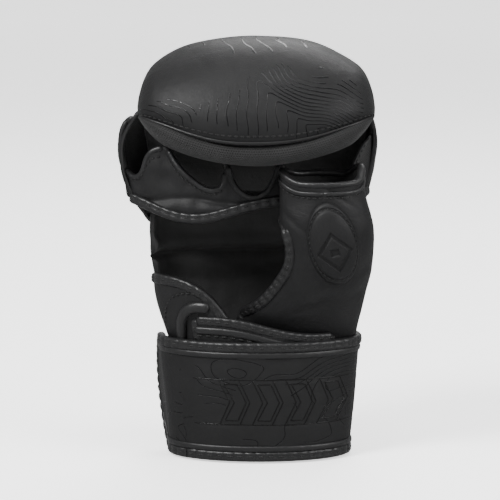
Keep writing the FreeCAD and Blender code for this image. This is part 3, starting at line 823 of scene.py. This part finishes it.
THUMB_LOW, THUMB_HIGH = 64, 165.5     # heights of the sleeve before its rim is shaped
THUMB_ROWS = np.concatenate([np.linspace(0, 0.55, 44), np.linspace(0.565, 1, 50)])
thumb_z0 = THUMB_LOW + (THUMB_HIGH - THUMB_LOW) * THUMB_ROWS
cols = np.linspace(0, 1, 110)[None]
thumb_phi = thumb_left(thumb_z0)[:, None] * (1 - cols) + thumb_right(thumb_z0)[:, None] * cols
thumb_zz = np.broadcast_to(thumb_z0[:, None], thumb_phi.shape)
flat = thumb(thumb_phi, thumb_zz)
rise = smooth(THUMB_ROWS, 0.72, 1.0)[:, None] * (mouth_height(flat) - THUMB_HIGH)
thumb_zz = thumb_zz + rise


def thumb_out(z, a, x):
    front = gauss(a, -95, 60)
    creases = -1.0 * gauss(z, 92 + (x - 30) * 0.3, 2.6) * front * smooth(x, 10, 30)
    creases += -0.8 * gauss(z, 101 + (x - 30) * 0.45, 2.4) * smooth(x, 20, 44) * front
    creases += -1.2 * gauss(z, 150 - (x - 14) * 0.9, 3.0) * (1 - smooth(x, 22, 40)) * front
    seam = -0.9 * gauss(x - 45 - (161 - z) * 1.45, 0, 1.6) * smooth(z, 144, 147) * front
    return creases + seam


fx = flat[..., 0]
o_grid = thumb(thumb_phi, thumb_zz, thumb_out(thumb_zz, thumb_phi, fx))
o_grid = rumpled(o_grid, 15.0, 9.0, (0, 0.9, 0), smooth(thumb_zz, 70, 90)[..., None])
i_grid = thumb(thumb_phi, thumb_zz, -3.0)
shell("thumb_sleeve", o_grid, i_grid, SKIN, WEB, ("thumb_shell", "thumb_lining"))

rim_p, rim_q = (o_grid[-1] + i_grid[-1]) / 2, o_grid[-1] - i_grid[-1]
rim_p = np.concatenate([rim_p, rim_p[:1]])
rim_q = np.concatenate([rim_q, rim_q[:1]])
rim_q = unit(rim_q)
binding("thumb_mouth_roll", rim_p + np.array([0, 0, 0.5]), rim_q, 3.6, 4.6, "thumb", ("thumb_mouth_binding",),
        ends=False, pitch=3.6, pinch=0.05)
low = o_grid[-1] + np.array([0, 0, -4.6])
binding("thumb_mouth_welt", low[6:-6], rim_q[6:-7], 2.4, 1.7, "thumb", pitch=3.6, pinch=0.1)
low = o_grid[-1] + np.array([0, 0, -6.9])
stitches("thumb_mouth_stitches", low[8:-8], rim_q[8:-9], 3.4, 2.4, 0.4, "thumb", lift=0.15)

edge_rows = thumb_z0 < 150
ep = (o_grid[edge_rows, 0] + i_grid[edge_rows, 0]) / 2
ep = ep + smooth(thumb_z0[edge_rows], 136, 150)[:, None] * np.array([3.0, 8.0, 0])
en = o_grid[edge_rows, 0] - i_grid[edge_rows, 0]
en = unit(unit(en) * 0.55 + np.array([0, -0.6, 0]))
bound_edge("thumb_side_edge", ep, en, WEB, 6.6, 6.4, ("palm_edge_binding",), pitch=5.2, row=0.4, lift=0.8)
back_z = np.linspace(134, 168, 40)
p, n = on_surface(thumb, np.full(40, 86.0), back_z, 0.2)
stitches("thumb_back_seam", p, n, 3.4, 2.4, 0.4, "thumb")


def thumb_front(x, z, w):
    """Palm side of the thumb at an x."""
    cx, _, a, _ = thumb_frame(z)
    t = -np.degrees(np.arccos(np.clip((x - cx) / a, -0.99, 0.99)))
    return thumb(t, z, w)


GUARD_C, GUARD_TILT = (42.0, 132.5), math.radians(11.5)
GUARD_HALF = (14.2, 25.5)       # half width and half height of the thumb's oval patch


def guard_xz(r, t):
    x, z = GUARD_HALF[0] * r * np.cos(t), GUARD_HALF[1] * r * np.sin(t)
    return (GUARD_C[0] + x * math.cos(GUARD_TILT) - z * math.sin(GUARD_TILT),
            GUARD_C[1] + x * math.sin(GUARD_TILT) + z * math.cos(GUARD_TILT))


def guard_off(r, t):
    """Height of the patch: a dome with a sunk border and a sunk plain diamond round a small square."""
    x, z = GUARD_HALF[0] * r * np.cos(t), GUARD_HALF[1] * r * np.sin(t)
    dome = 4.6 * np.clip(1 - np.clip(r, 0, 1) ** 5, 0, 1) ** 0.7
    border = -1.1 * gauss(r, 0.86, 0.035)
    d = np.abs(x / 9.4) + np.abs((z + 4.0) / 12.5)
    diamond = np.clip(1 - np.abs(d - 0.86) / 0.14, 0, 1)
    bar = np.clip(1 - np.maximum(np.abs(x), np.abs(z + 4.0)) / 2.4, 0, 1)
    mark = -0.9 * smooth(np.maximum(diamond, bar), 0.0, 0.25)
    return 0.15 + dome + border + mark


gr, gt = np.linspace(0.004, 1.0, 60), np.linspace(0, 2 * np.pi, 145)[:-1]
R, T = np.meshgrid(gr, gt, indexing="ij")
gx, gz = guard_xz(R, T)
gp = thumb_front(gx, gz, guard_off(R, T))
base = thumb_front(*guard_xz(np.full(144, 1.0), gt), -1.2)
gp = np.concatenate([gp, base[None]])
guard = grid("thumb_guard", gp, M_LEATHER, wrap_v=True)
place(guard, "thumb", ("thumb_guard_cover", "thumb_guard_foam"))
tt = np.linspace(0, 2 * np.pi, 160)
p, n = on_surface(thumb_front, *guard_xz(np.full(160, 0.86), tt), 0.0)
p = p + n * (guard_off(np.full(160, 0.86), tt))[:, None]
stitches("guard_stitches", p, n, 3.2, 2.3, 0.36, "thumb", lift=0.25)

# ------------------------------------------------------------------ palm band and finger loops

def ring(x, z, w):
    """Front of the finger ring at an x, its side pulled round at the little finger."""
    x, z = np.asarray(x, float), np.asarray(z, float)
    k = np.interp(z, [136, 150, 182, 206], [0, 0, 1, 2])
    a, b = 71.0 + 2.0 * smooth(z, 145, 175), 27.0 - 1.5 * k
    s = np.clip((x + 6) / a, -0.985, 0.985)
    nx, ny = s / a, -np.sqrt(1 - s * s) / b
    length = np.sqrt(nx * nx + ny * ny)
    y = 2 - b * np.sqrt(1 - s * s)
    return np.stack(np.broadcast_arrays(x + w * nx / length, y + w * ny / length, z + 0 * x), -1)


LEFT_RISE = [(-74.5, 201.5), (-79.5, 197), (-82.0, 188), (-82.0, 178)]
RIM = natural_spline([(-80.6, 171.5), (-77.5, 167.2), (-73.5, 166), (-69.8, 168.5), (-67.2, 175.5),
                      (-63, 182), (-56.5, 184)], 46)
RIM2 = natural_spline([(-54.5, 183), (-47.5, 173), (-38, 164.5), (-29, 160), (-23, 161), (-20.6, 171)], 44)
RIM3 = natural_spline([(-18.8, 174.5), (-16.4, 166), (-10.5, 158.6), (-2.5, 156), (4.5, 159.6), (9, 167.4),
                       (11.5, 175)], 44)
RIM4 = natural_spline([(13, 176), (15, 167), (20, 159.5), (33, 157.5), (48, 159.5), (56, 166), (60.5, 176),
                       (65, 187)], 50)
rim = np.concatenate([RIM, RIM2, RIM3, RIM4])
n_rim = len(rim)
foot_x = np.interp(np.arange(n_rim), [0, 45, 46, 89, 90, 133, 134, 183],
                   [-77.5, -55.5, -54.5, -19.8, -19, 12, 13, 64])
foot_z = np.interp(foot_x, BAND_T[:, 0], BAND_T[:, 1])
rows = np.linspace(0, 1, 26)[:, None]
lx = foot_x[None] + (rim[None, :, 0] - foot_x[None]) * rows ** 1.3
lz = foot_z[None] + (rim[None, :, 1] - foot_z[None]) * rows
fold = -1.1 * gauss(lz, 154 + 1.5 * np.sin(lx / 9), 1.6) + 0.8 * gauss(lz, 149, 3.0)
pull = -2.0 * rows * gauss(lx, -55, 5) - 1.6 * rows * gauss(lx, -19, 4) - 1.6 * rows * gauss(lx, 12.5, 4)
loops_o = ring(lx, lz, 0.6 + fold + pull)
loops_o = rumpled(loops_o, 8.0, 5.0, (0, 0.5, 0))
loops_i = ring(lx, lz, -2.4 + fold * 0.5 + pull)
shell("finger_loops", np.swapaxes(loops_o, 0, 1), np.swapaxes(loops_i, 0, 1), SKIN, "knuckle",
      ("palm_band", *(f"finger_loop_{finger}" for finger in ("pinky", "ring", "middle", "index"))))
for k, (a, b) in enumerate(((0, 46), (46, 90), (90, 134), (134, 184))):
    p = (loops_o[-1, a:b] + loops_i[-1, a:b]) / 2
    q = unit(loops_o[-1, a:b] - loops_i[-1, a:b])
    if k == 0:
        rise_xz = natural_spline(LEFT_RISE + [tuple(RIM[1])], 24)[:-1]
        p = np.concatenate([ring(rise_xz[:, 0], rise_xz[:, 1], -0.9) + np.array([0, -1.5, 0]), p[1:]])
        q = np.concatenate([np.tile(q[0], (len(rise_xz), 1)), q[1:]])
    binding(f"loop_piping_{k}", p, q, 3.6, 4.2, "knuckle", pitch=3.2, pinch=0.06)
    inset = loops_o[-4, a:b]
    stitches(f"loop_stitches_{k}", inset[1:-1], q[-len(inset):][1:-1], 3.2, 2.2, 0.34, "knuckle", lift=0.3)

bx = np.linspace(-75.6, 64.0, 160)
p, n = on_surface(ring, bx, np.interp(bx, BAND_T[:, 0], BAND_T[:, 1]), -0.4)
bound_edge("palm_band_edge", p, n, "knuckle", 6.2, 5.2, ("palm_band_binding",), row=-0.5, lift=0.8)

# straps between the fingers, from the front up and back under the pad
for k, (x, z1) in enumerate(((-54.5, 183), (-19.5, 174), (12.5, 175)), 1):
    node = f"finger_divider_{k}"
    t = np.linspace(0, 1, 26)
    front = ring(np.full(26, x), np.full(26, z1 - 3.0), 0.0)
    y = front[:, 1] + 3.5 + (8 - front[0, 1]) * t
    zm = z1 + 1 + 5 * np.sin(t * np.pi / 2)
    across = np.linspace(-1, 1, 12)
    width = (3.4 + 6.0 * t)[:, None]
    mid = np.stack([np.full((26, 12), x) + 1.0 * np.sin(t * 6)[:, None], y[:, None] + 0 * across,
                    zm[:, None] - width + width * (across + 1)], -1)
    half = np.array([1.3, 0, 0])
    shell(node + "_strap", mid + half, mid - half, SKIN, "knuckle", (node,))

# side walls that join the loops to the pad at the little and index fingers

def side_wall(name, lines, stands_for, thick=2.2):
    """Wall through curves from its front edge to its hidden rear one, each given from the bottom up."""
    curves = np.array([natural_spline(c, 44) for c in lines])
    o = np.array([natural_spline(curves[:, k], 34) for k in range(44)])
    side = np.sign(o[20, 10, 0])
    o = rumpled(o, 10.0, 2.0, (0.5, 0, 0))
    i = o - np.array([side * thick, 0, 0])
    return shell(name, o, i, SKIN, "knuckle", stands_for)


side_wall("pinky_side", [
    [(-74.0, -6, 152), (-79.3, -5.5, 162), (-82, -5.5, 176), (-81.0, -6, 190), (-74.5, -7, 202)],
    [(-70.5, 2, 145), (-78, 3.5, 158), (-82, 4, 175), (-80.5, 3, 191), (-72.5, 0, 204)],
    [(-67, 10, 139), (-73, 13, 155), (-77, 14, 174), (-75, 13, 191), (-67, 8, 204)],
    [(-62, 20, 134), (-60, 27, 152), (-59, 30, 172), (-58, 28, 190), (-55, 16, 202)]], ("pinky_side_wall",))
side_wall("index_side", [
    [(61.0, -8, 152), (64.5, -6, 163), (67.5, -5, 176), (69, -6, 190), (66.5, -7, 201)],
    [(60.5, 2, 145), (65, 3, 158), (68.5, 4, 175), (69, 3, 191), (65, 0, 204)],
    [(59, 10, 139), (62.5, 13, 155), (65.5, 14, 174), (65, 13, 191), (61, 8, 204)],
    [(55, 20, 134), (54, 27, 152), (54, 30, 172), (53, 28, 190), (49, 16, 202)]], ("index_side_wall",))

t = np.linspace(0, 1, 40)
gus = natural_spline([(60, 150), (63.5, 158), (65.8, 167), (67, 178), (66, 190)], 40)
f = np.linspace(0, 1, 16)
gx = gus[:, 0][:, None] - (2 + 10 * np.sin(np.pi * t) ** 0.8)[:, None] * (1 - f[None])
gy = -4 - 16 * (1 - f[None]) ** 1.4 + 0 * gx
gz = np.broadcast_to(gus[:, 1][:, None], gx.shape)
go = np.stack([gx, gy, gz], -1)
go = rumpled(go, 7.0, 8.0, (0.5, 0.3, 0))
shell("index_gusset", go, go - np.array([1.4, -0.9, 0]), (M_KNIT, M_LINING), "knuckle",
      ("index_gusset_mesh",))
stitches("index_gusset_stitches", go[2:-2, 1], np.tile(np.array([0.6, -0.8, 0]), (36, 1)), 3.4, 2.4, 0.4,
         "knuckle", lift=0.3)

# ------------------------------------------------------------------ knuckle pad
PAD_OUT = natural_spline([(18.5, 153.5), (24, 150.6), (31, 149.9), (37.5, 151.8), (44.5, 160), (49, 175),
                          (50.5, 195), (43, 220), (25, 240), (-1, 248.8), (-27, 245.4), (-47, 231),
                          (-58.0, 212.5), (-60.3, 200.5), (-58.8, 193.6), (-55.2, 190.2)], 150)
PAD_LIP = natural_spline([(-54.4, 190.6), (-57.4, 188.2), (-57.8, 184.6), (-55.6, 181), (-51.2, 178.6),
                          (-45, 177.2), (-38.5, 178), (-32, 183), (-27, 193), (-15, 203), (1, 200.5),
                          (11.5, 187), (15.5, 168), (17.5, 154.5)], 110)


def pad_section(x, pts, least, power):
    """A cross-section of the pad, narrowed and lifted towards its ends."""
    sx = min(abs(x / PAD_HALF), 0.99)
    share = least + (1 - least) * (1 - sx ** power) ** (1 / power)
    y, z = pts[:, 0], pts[:, 1]
    low = smooth(z, PAD_CENTRE[1] - 22, PAD_CENTRE[1] - 2)
    z = z + (PAD_CENTRE[1] + (z - PAD_CENTRE[1]) * share - z) * low
    z = z + 20 * sx ** 2.2 * np.clip((15 - pts[:, 0]) / 50, 0, 1) * np.clip((240 - z) / 50, 0, 1)
    taper = 1 - 0.13 * (205 - z) / 55
    return np.stack([x * taper - 2, PAD_CENTRE[0] + (y - PAD_CENTRE[0]) * share, z], 1)


PAD_X = PAD_HALF * np.sin(np.linspace(-0.5, 0.5, 97) * np.pi)
pad_rows = []
n_out, n_lip = len(PAD_OUT), len(PAD_LIP)
for x in PAD_X:
    o, l = pad_section(x, PAD_OUT, 0.34, 2.25), pad_section(x, PAD_LIP, 0.36, 3.0)
    k = math.sqrt(max(0.0, 1 - max(0.0, (abs(x) - (PAD_HALF - 13)) / 13) ** 2))
    k = max(k, 0.03)
    l[:, 2] -= 5.0 * min(abs(x) / PAD_HALF, 1.0) ** 2.5 * gauss(np.arange(n_lip), 34, 16)
    back = l[::-1]
    mid_o = (o + stretched(back, n_out)) / 2
    mid_l = (back + stretched(o, n_lip)) / 2
    o = mid_o + (o - mid_o) * k
    l = (mid_l + (back - mid_l) * k)[::-1]
    pad_rows.append(np.concatenate([o, l]))
pad_rows = np.array(pad_rows)
sag = fuzz(pad_rows, 34.0, 6.0)[..., None] * np.array([0.5, 0.7, 0.7])
pad_rows = pad_rows + sag * smooth(np.abs(PAD_X), 68, 58)[:, None, None]


def pad_material(column):
    """Leather outside, knit over the lip, and lining in the hollow."""
    if column < n_out - 1 or column == n_out + n_lip - 1:
        return 0
    return 1 if column < n_out + 46 else 2


pad = grid("knuckle_pad", pad_rows, [M_PAD, M_KNIT, M_LINING], wrap_v=True, pick=pad_material,
           uv_origin=(-80, 0))
seam_xyz = np.concatenate([pad_rows[::2, n_out - 1], pad_rows[::2, 0]])


def pad_free(p):
    return float(smooth(np.linalg.norm(seam_xyz - p, axis=1).min(), 2, 16))


settle(pad, pad_free)
place(pad, "knuckle", ("pad_shell", "pad_lining", "pad_outer_foam", "pad_inner_foam"))


def pad_line(j):
    """Points and normals along the pad at a column of its section."""
    p = pad_rows[:, j]
    du, dv = np.gradient(p, axis=0), pad_rows[:, j + 1] - pad_rows[:, j - 1]
    n = np.cross(du, dv)
    n = n / (np.linalg.norm(n, axis=1)[:, None] + 1e-9)
    away = p - np.array([-2.0, PAD_CENTRE[0], PAD_CENTRE[1] + 10])
    return p, n * np.sign((n * away).sum(1))[:, None]


p, n = pad_line(n_out - 3)
binding("pad_seam_welt", p[5:-5] + n[5:-5] * 0.1, n[5:-5], 2.6, 2.0, "knuckle", pitch=3.4, pinch=0.15)
p, n = pad_line(n_out - 6)
stitches("pad_seam_stitches", p[4:-4], n[4:-4], 3.6, 2.6, 0.42, "knuckle", lift=0.15)
p, n = pad_line(8)
stitches("pad_rear_stitches", p[6:-6], n[6:-6], 3.8, 2.7, 0.42, "knuckle", lift=0.15)

# ------------------------------------------------------------------ cuff
cz, ca = np.linspace(3, 66, 24), np.linspace(0, 360, 121)[:-1]


def cuff_in(z, a):
    return -6.4 + 1.0 * gauss(z, 30, 3) + 0.8 * gauss(z, 52, 3) - 1.2 * smooth(z, 20, 0)


o_grid, i_grid = field(hand_at, cz, ca, 0.0), field(hand_at, cz, ca, cuff_in)
i_grid = rumpled(i_grid, 12.0, 3.0, (0.3, 0.4, 0))


def tube_shell(name, outer, inner, mats, on, stands_for):
    """A closed tube's outer and inner skins, joined at both rims."""
    p = np.concatenate([outer, inner[::-1]], 0)
    n = len(outer)
    o = grid(name, np.swapaxes(p, 0, 1), list(mats), wrap_u=True, wrap_v=True, flip=True,
             pick=lambda c: 0 if c < n - 1 else 1)
    return place(o, on, stands_for)


cuff = tube_shell("cuff", o_grid, i_grid, SKIN, "hand",
                  ("cuff_shell", "cuff_padding", "cuff_lining"))
ra = np.linspace(0, 360, 241)
p, n = on_surface(hand, ra, np.full(241, 3.2), -2.8)
bound_edge("cuff_rim", p, unit(n * 0.75 + np.array([0, 0, -0.66])), "hand", 6.6, 7.4, ("cuff_rim_binding",),
           row=0.6, lift=0.0, pitch=5.0)
f = np.linspace(0, 1, 60)
o_grid = field(hand_at, np.linspace(8, 64, 20), ellipse_angle(-176 - 66 * f), 1.35)
i_grid = field(hand_at, np.linspace(8, 64, 20), ellipse_angle(-176 - 66 * f), 0.15)
shell("loop_patch", o_grid, i_grid, M_LOOP, "hand", ("cuff_loop_patch",))

# ------------------------------------------------------------------ inner tab and wrap strap

def around(t, z, w):
    """Round the cuff at a polar angle in degrees; the strap hugs the cuff below and above."""
    on_cuff = hand(ellipse_angle(t), np.clip(z, 0, 80), w) * np.array([1, 1, 0])
    return on_cuff + np.stack(np.broadcast_arrays(0 * z, 0 * z, z + 0 * t), -1)


def strip(name, t, z, out, inn, mats, on, stands_for, ends=(True, True)):
    """A flat strap round the cuff: t along it, z across it."""
    o = field(around, t, z, out)
    i = field(around, t, z, inn)
    return shell(name, o, i, mats, on, stands_for, ends=ends)


TAB_T = np.linspace(-24, -147.5, 90)


def tab_top(t):
    return 83.5 - 10.5 * smooth(-t, 135, 30)


def tab_out(t, z):
    return 3.0 + 0.8 * np.sin(np.pi * np.clip((z - 13) / 66, 0, 1)) ** 0.5 + 0.5 * gauss(t, -70, 12)


fz = 13.5 + (tab_top(TAB_T)[:, None] - 14.0) * np.linspace(0, 1, 40)[None]
strip("tab", TAB_T, fz, tab_out, 0.5, SKIN, TAB, ("tab_panel", "tab_root"))
p, n = on_surface(around, TAB_T, tab_top(TAB_T), 1.9)
bound_edge("tab_upper_edge", p, n, TAB, 5.6, 4.6, ("tab_bindings",), row=-0.2, pitch=5.2, lift=0.0)
p, n = on_surface(around, TAB_T, tab_top(TAB_T) - 5.6, 3.4)
binding("tab_welt", p, n, 4.2, 2.6, TAB, pitch=5.2, pinch=0.08, groove=0.1)
stitches("tab_welt_stitches", *on_surface(around, TAB_T, tab_top(TAB_T) - 8.6, 4.0), 5.0, 3.4, 0.5, TAB)
endz = np.linspace(14, 84.5, 40)
p, n = on_surface(around, np.full(40, -148.0), endz, 1.8)
bound_edge("tab_end_edge", p, n, "tab", 4.6, 4.4, (), pitch=5.2, lift=0.0)
p, n = on_surface(around, TAB_T, np.full(90, 13.0), 1.9)
bound_edge("tab_lower_edge", p, n, TAB, 5.2, 4.4, (), pitch=5.2, lift=0.0)

STRAP_LO, STRAP_HI = 2.0, 70.0
STRAP_MID = 36          # height of its middle
LINE_Z = (22.5, 49.5)   # heights of the two printed lines
FRONT_T = np.linspace(60, -158.2, 190)
sz = np.linspace(STRAP_LO + 2.5, STRAP_HI - 2.5, 56)


def strap_out(t, z):
    """Height of the strap's face over the cuff."""
    f = np.clip((z - 2) / 68, 0, 1)
    puff = 0.9 * np.sin(np.pi * f) ** 0.7
    lines = gauss(z, LINE_Z[0], 0.9) + gauss(z, LINE_Z[1], 0.9)
    bars = -0.7 * lines * smooth(t, 40, 20) * smooth(t, -150, -140)
    return 6.4 + puff + bars * 0.4 + 0.5 * np.sin(t / 13) * np.sin(z / 15)


strip("strap", FRONT_T, sz, strap_out, 3.9, (M_STRAP, M_LINING), PEEL,
      ("strap_root_panel", "strap_front_panel", "strap_anchor"), ends=(True, False))
for side, z0, d, names in (("top", STRAP_HI - 1.2, -1, ("strap_root_bindings", "strap_front_bindings")),
                           ("low", STRAP_LO + 1.4, 1, ())):
    p, n = on_surface(around, FRONT_T, np.full(190, z0), 5.3)
    binding(f"strap_{side}_edge", p, n, 6.4, 5.6, PEEL, names, pitch=6.0, pinch=0.2, groove=0.2,
            ends=(True, False))
    stitches(f"strap_{side}_stitches", p, n, 6.0, 4.0, 0.6, PEEL, lift=2.15)
    p, n = on_surface(around, FRONT_T, np.full(190, z0 + d * 4.6), 6.9)
    binding(f"strap_{side}_fold", p, n, 3.4, 1.8, PEEL, pitch=6.0, pinch=0.1, ends=(True, False))

# the strap's free tip: round the little-finger side, where it leaves the cuff as a rounded flap

def tip_surf(s_, z, w):
    """s_ below 0 is a polar angle from the side of the cuff, and above 0 it is millimetres along the flap."""
    y = np.maximum(s_, 0.0)
    on_cuff = around(-180.0 - np.minimum(s_, 0.0), z, w)
    return on_cuff + np.stack([-0.19 * (np.sqrt(y * y + 9.0) - 3.0), y, 0 * z], -1)


def tip_half(s_):
    """Half height of the flap, which is straight at first and then a round end."""
    return np.sqrt(np.maximum(41.1 ** 2 - (np.maximum(s_, 4.0) + 19.1) ** 2, 1.0))


TIP_S = np.concatenate([np.linspace(-22, -0.5, 22), np.linspace(0.4, 20.6, 34)])
tip_v = np.linspace(-1, 1, 56)[None]
tip_z = STRAP_MID + tip_v * (tip_half(TIP_S)[:, None] - 2.5)
tip_s = TIP_S[:, None] + 0 * tip_z
o_grid = tip_surf(tip_s, tip_z, strap_out(-180.0 - tip_s, tip_z))
i_grid = tip_surf(tip_s, tip_z, 3.9 + 0 * tip_z)
shell("strap_tip", o_grid, i_grid, (M_STRAP, M_LINING), TIP, ("strap_tip_panel",),
      ends=(False, True))
lap = np.concatenate([np.linspace(-22, 20, 60), 22.0 - 1.9 * np.cos(np.linspace(0, np.pi / 2, 24)[1:]) ** 2])
half = tip_half(lap) - 1.3
half[-1] = 0.0
edge_s = np.concatenate([lap, lap[::-1][1:]])
edge_z = np.concatenate([STRAP_MID + half, (STRAP_MID - half)[::-1][1:]])
p, n = on_surface(tip_surf, edge_s, edge_z, 5.3)
binding("tip_edge", p, n, 6.4, 5.6, TIP, pitch=6.0, pinch=0.2, groove=0.2, ends=False)
stitches("tip_stitches", p, n, 6.0, 4.0, 0.6, TIP, lift=2.15)
for side, z0 in (("top", STRAP_HI - 5.8), ("low", STRAP_LO + 6.0)):
    p, n = on_surface(tip_surf, np.linspace(-22, 4, 40), np.full(40, z0), 6.9)
    binding(f"tip_{side}_fold", p, n, 3.4, 1.8, TIP, pitch=6.0, pinch=0.1, ends=(False, True))
hook_s = np.linspace(-20, 14, 40)
hook_z = STRAP_MID + np.linspace(-1, 1, 30)[None] * np.minimum(24.0, tip_half(hook_s) - 8)[:, None]
hook_u = hook_s[:, None] + 0 * hook_z
shell("hook_patch", tip_surf(hook_u, hook_z, 3.7), tip_surf(hook_u, hook_z, 2.5), M_HOOK, TIP,
      ("strap_hook_patch",))

# printed ribbons and outlines on the strap
PRINT_HEIGHT = 0.44


def printed(name, t, z, width, **how):
    """A thin printed line standing just proud of the strap, along polar angles and heights."""
    p, n = on_surface(around, t, z, 0.0)
    p = p + n * (strap_out(t, z) + 0.05)[:, None]
    roll(name, p, n, width, PRINT_HEIGHT, M_GLOSS, PEEL, **how)


for side, z0 in (("top", LINE_Z[1]), ("low", LINE_Z[0])):
    printed(f"strap_line_{side}", np.linspace(38, -150, 120), np.full(120, z0), 0.55, step=0.7)


def angle_of(x):
    """Polar angle on the palm side of the strap at an x."""
    f = np.arccos(np.clip(np.asarray(x, float) / 60.0, -1, 1))
    return -np.degrees(np.arctan2(28.5 * np.sin(f), 53.0 * np.cos(f)))


def outline(name, corners):
    """A closed outline of straight sides on the strap; corners are (x, height)."""
    c = corners + corners[:1]
    q = np.concatenate([np.linspace(a, b, 24)[:-1] for a, b in zip(c, c[1:])] + [np.array([c[0]])])
    printed(name, angle_of(q[:, 0]), q[:, 1], 0.7, step=0.5, ends=False)


# four chevrons, each an outer outline and one set in from it by d
for k in range(4):
    a = -25 + 20.5 * k
    for d, tag in ((0.0, "a"), (2.6, "b")):
        low, high = LINE_Z[0] + d, LINE_Z[1] - d
        near, far = a + 1.3 * d, a + 12.5 - 0.4 * d
        outline(f"strap_chevron_{k}{tag}", [(near, low), (far, low), (a + 19 - 0.9 * d, STRAP_MID),
                                            (far, high), (near, high), (a + 6.5 + 1.1 * d, STRAP_MID)])

# ------------------------------------------------------------------ studio

def studio():
    """Pale paper sweep, soft lights, and the camera at the photo's angle."""
    world = bpy.data.worlds.new("studio")
    bpy.context.scene.world = world
    world.use_nodes = True
    world.node_tree.nodes["Background"].inputs[0].default_value = (1, 1, 1, 1)
    world.node_tree.nodes["Background"].inputs[1].default_value = 0.45
    n = Nodes("paper")
    vec = n.coords(False)
    tone = n.noise(vec, 0.02, 2.0)
    colour = n.colour(tone, (0.86, 0.86, 0.86), (0.9, 0.9, 0.9))
    mat = n.out(colour, 0.9, n.bump(n.noise(vec, 1.2, 3.0), 0.0001, 0.3),
                Emission_Color=(1, 1, 1, 1), Emission_Strength=1.1)
    turn = np.linspace(0.1, np.pi / 2, 12)
    y = np.concatenate([np.linspace(-5000, 3200, 14), 3200 + 900 * np.sin(turn), np.full(8, 4100.0)])
    z = np.concatenate([np.zeros(14), 900 * (1 - np.cos(turn)), np.linspace(1000, 4500, 8)]) - 0.8
    x = np.linspace(-5000, 5000, 9)
    p = np.stack(np.broadcast_arrays(x[None], y[:, None], z[:, None]), -1)
    floor = grid("floor", p, mat)
    floor.visible_glossy = False
    for name, at, size, watts in (("key", (-1.0, -1.0, 1.3), 0.6, 62), ("fill", (1.3, -0.8, 0.8), 0.9, 26),
                                  ("rim", (0.2, 1.0, 1.3), 0.8, 20), ("top", (0.1, -0.4, 1.7), 0.7, 13)):
        lamp = bpy.data.lights.new(name, "AREA")
        lamp.energy = watts
        lamp.size = size
        o = bpy.data.objects.new(name, lamp)
        o.location = at
        o.rotation_euler = (Vector((0, 0, 0.13)) - Vector(at)).to_track_quat("-Z", "Y").to_euler()
        bpy.context.scene.collection.objects.link(o)
    cam = bpy.data.cameras.new("camera")
    cam.lens = 243
    cam.sensor_width = 36
    o = bpy.data.objects.new("camera", cam)
    look, e, d = Vector((-0.0056, 0, 0.1216)), math.radians(8.5), 2.0
    o.location = look + Vector((0, -math.cos(e), math.sin(e))) * d
    o.rotation_euler = (look - o.location).to_track_quat("-Z", "Y").to_euler()
    bpy.context.scene.collection.objects.link(o)
    bpy.context.scene.camera = o


studio()
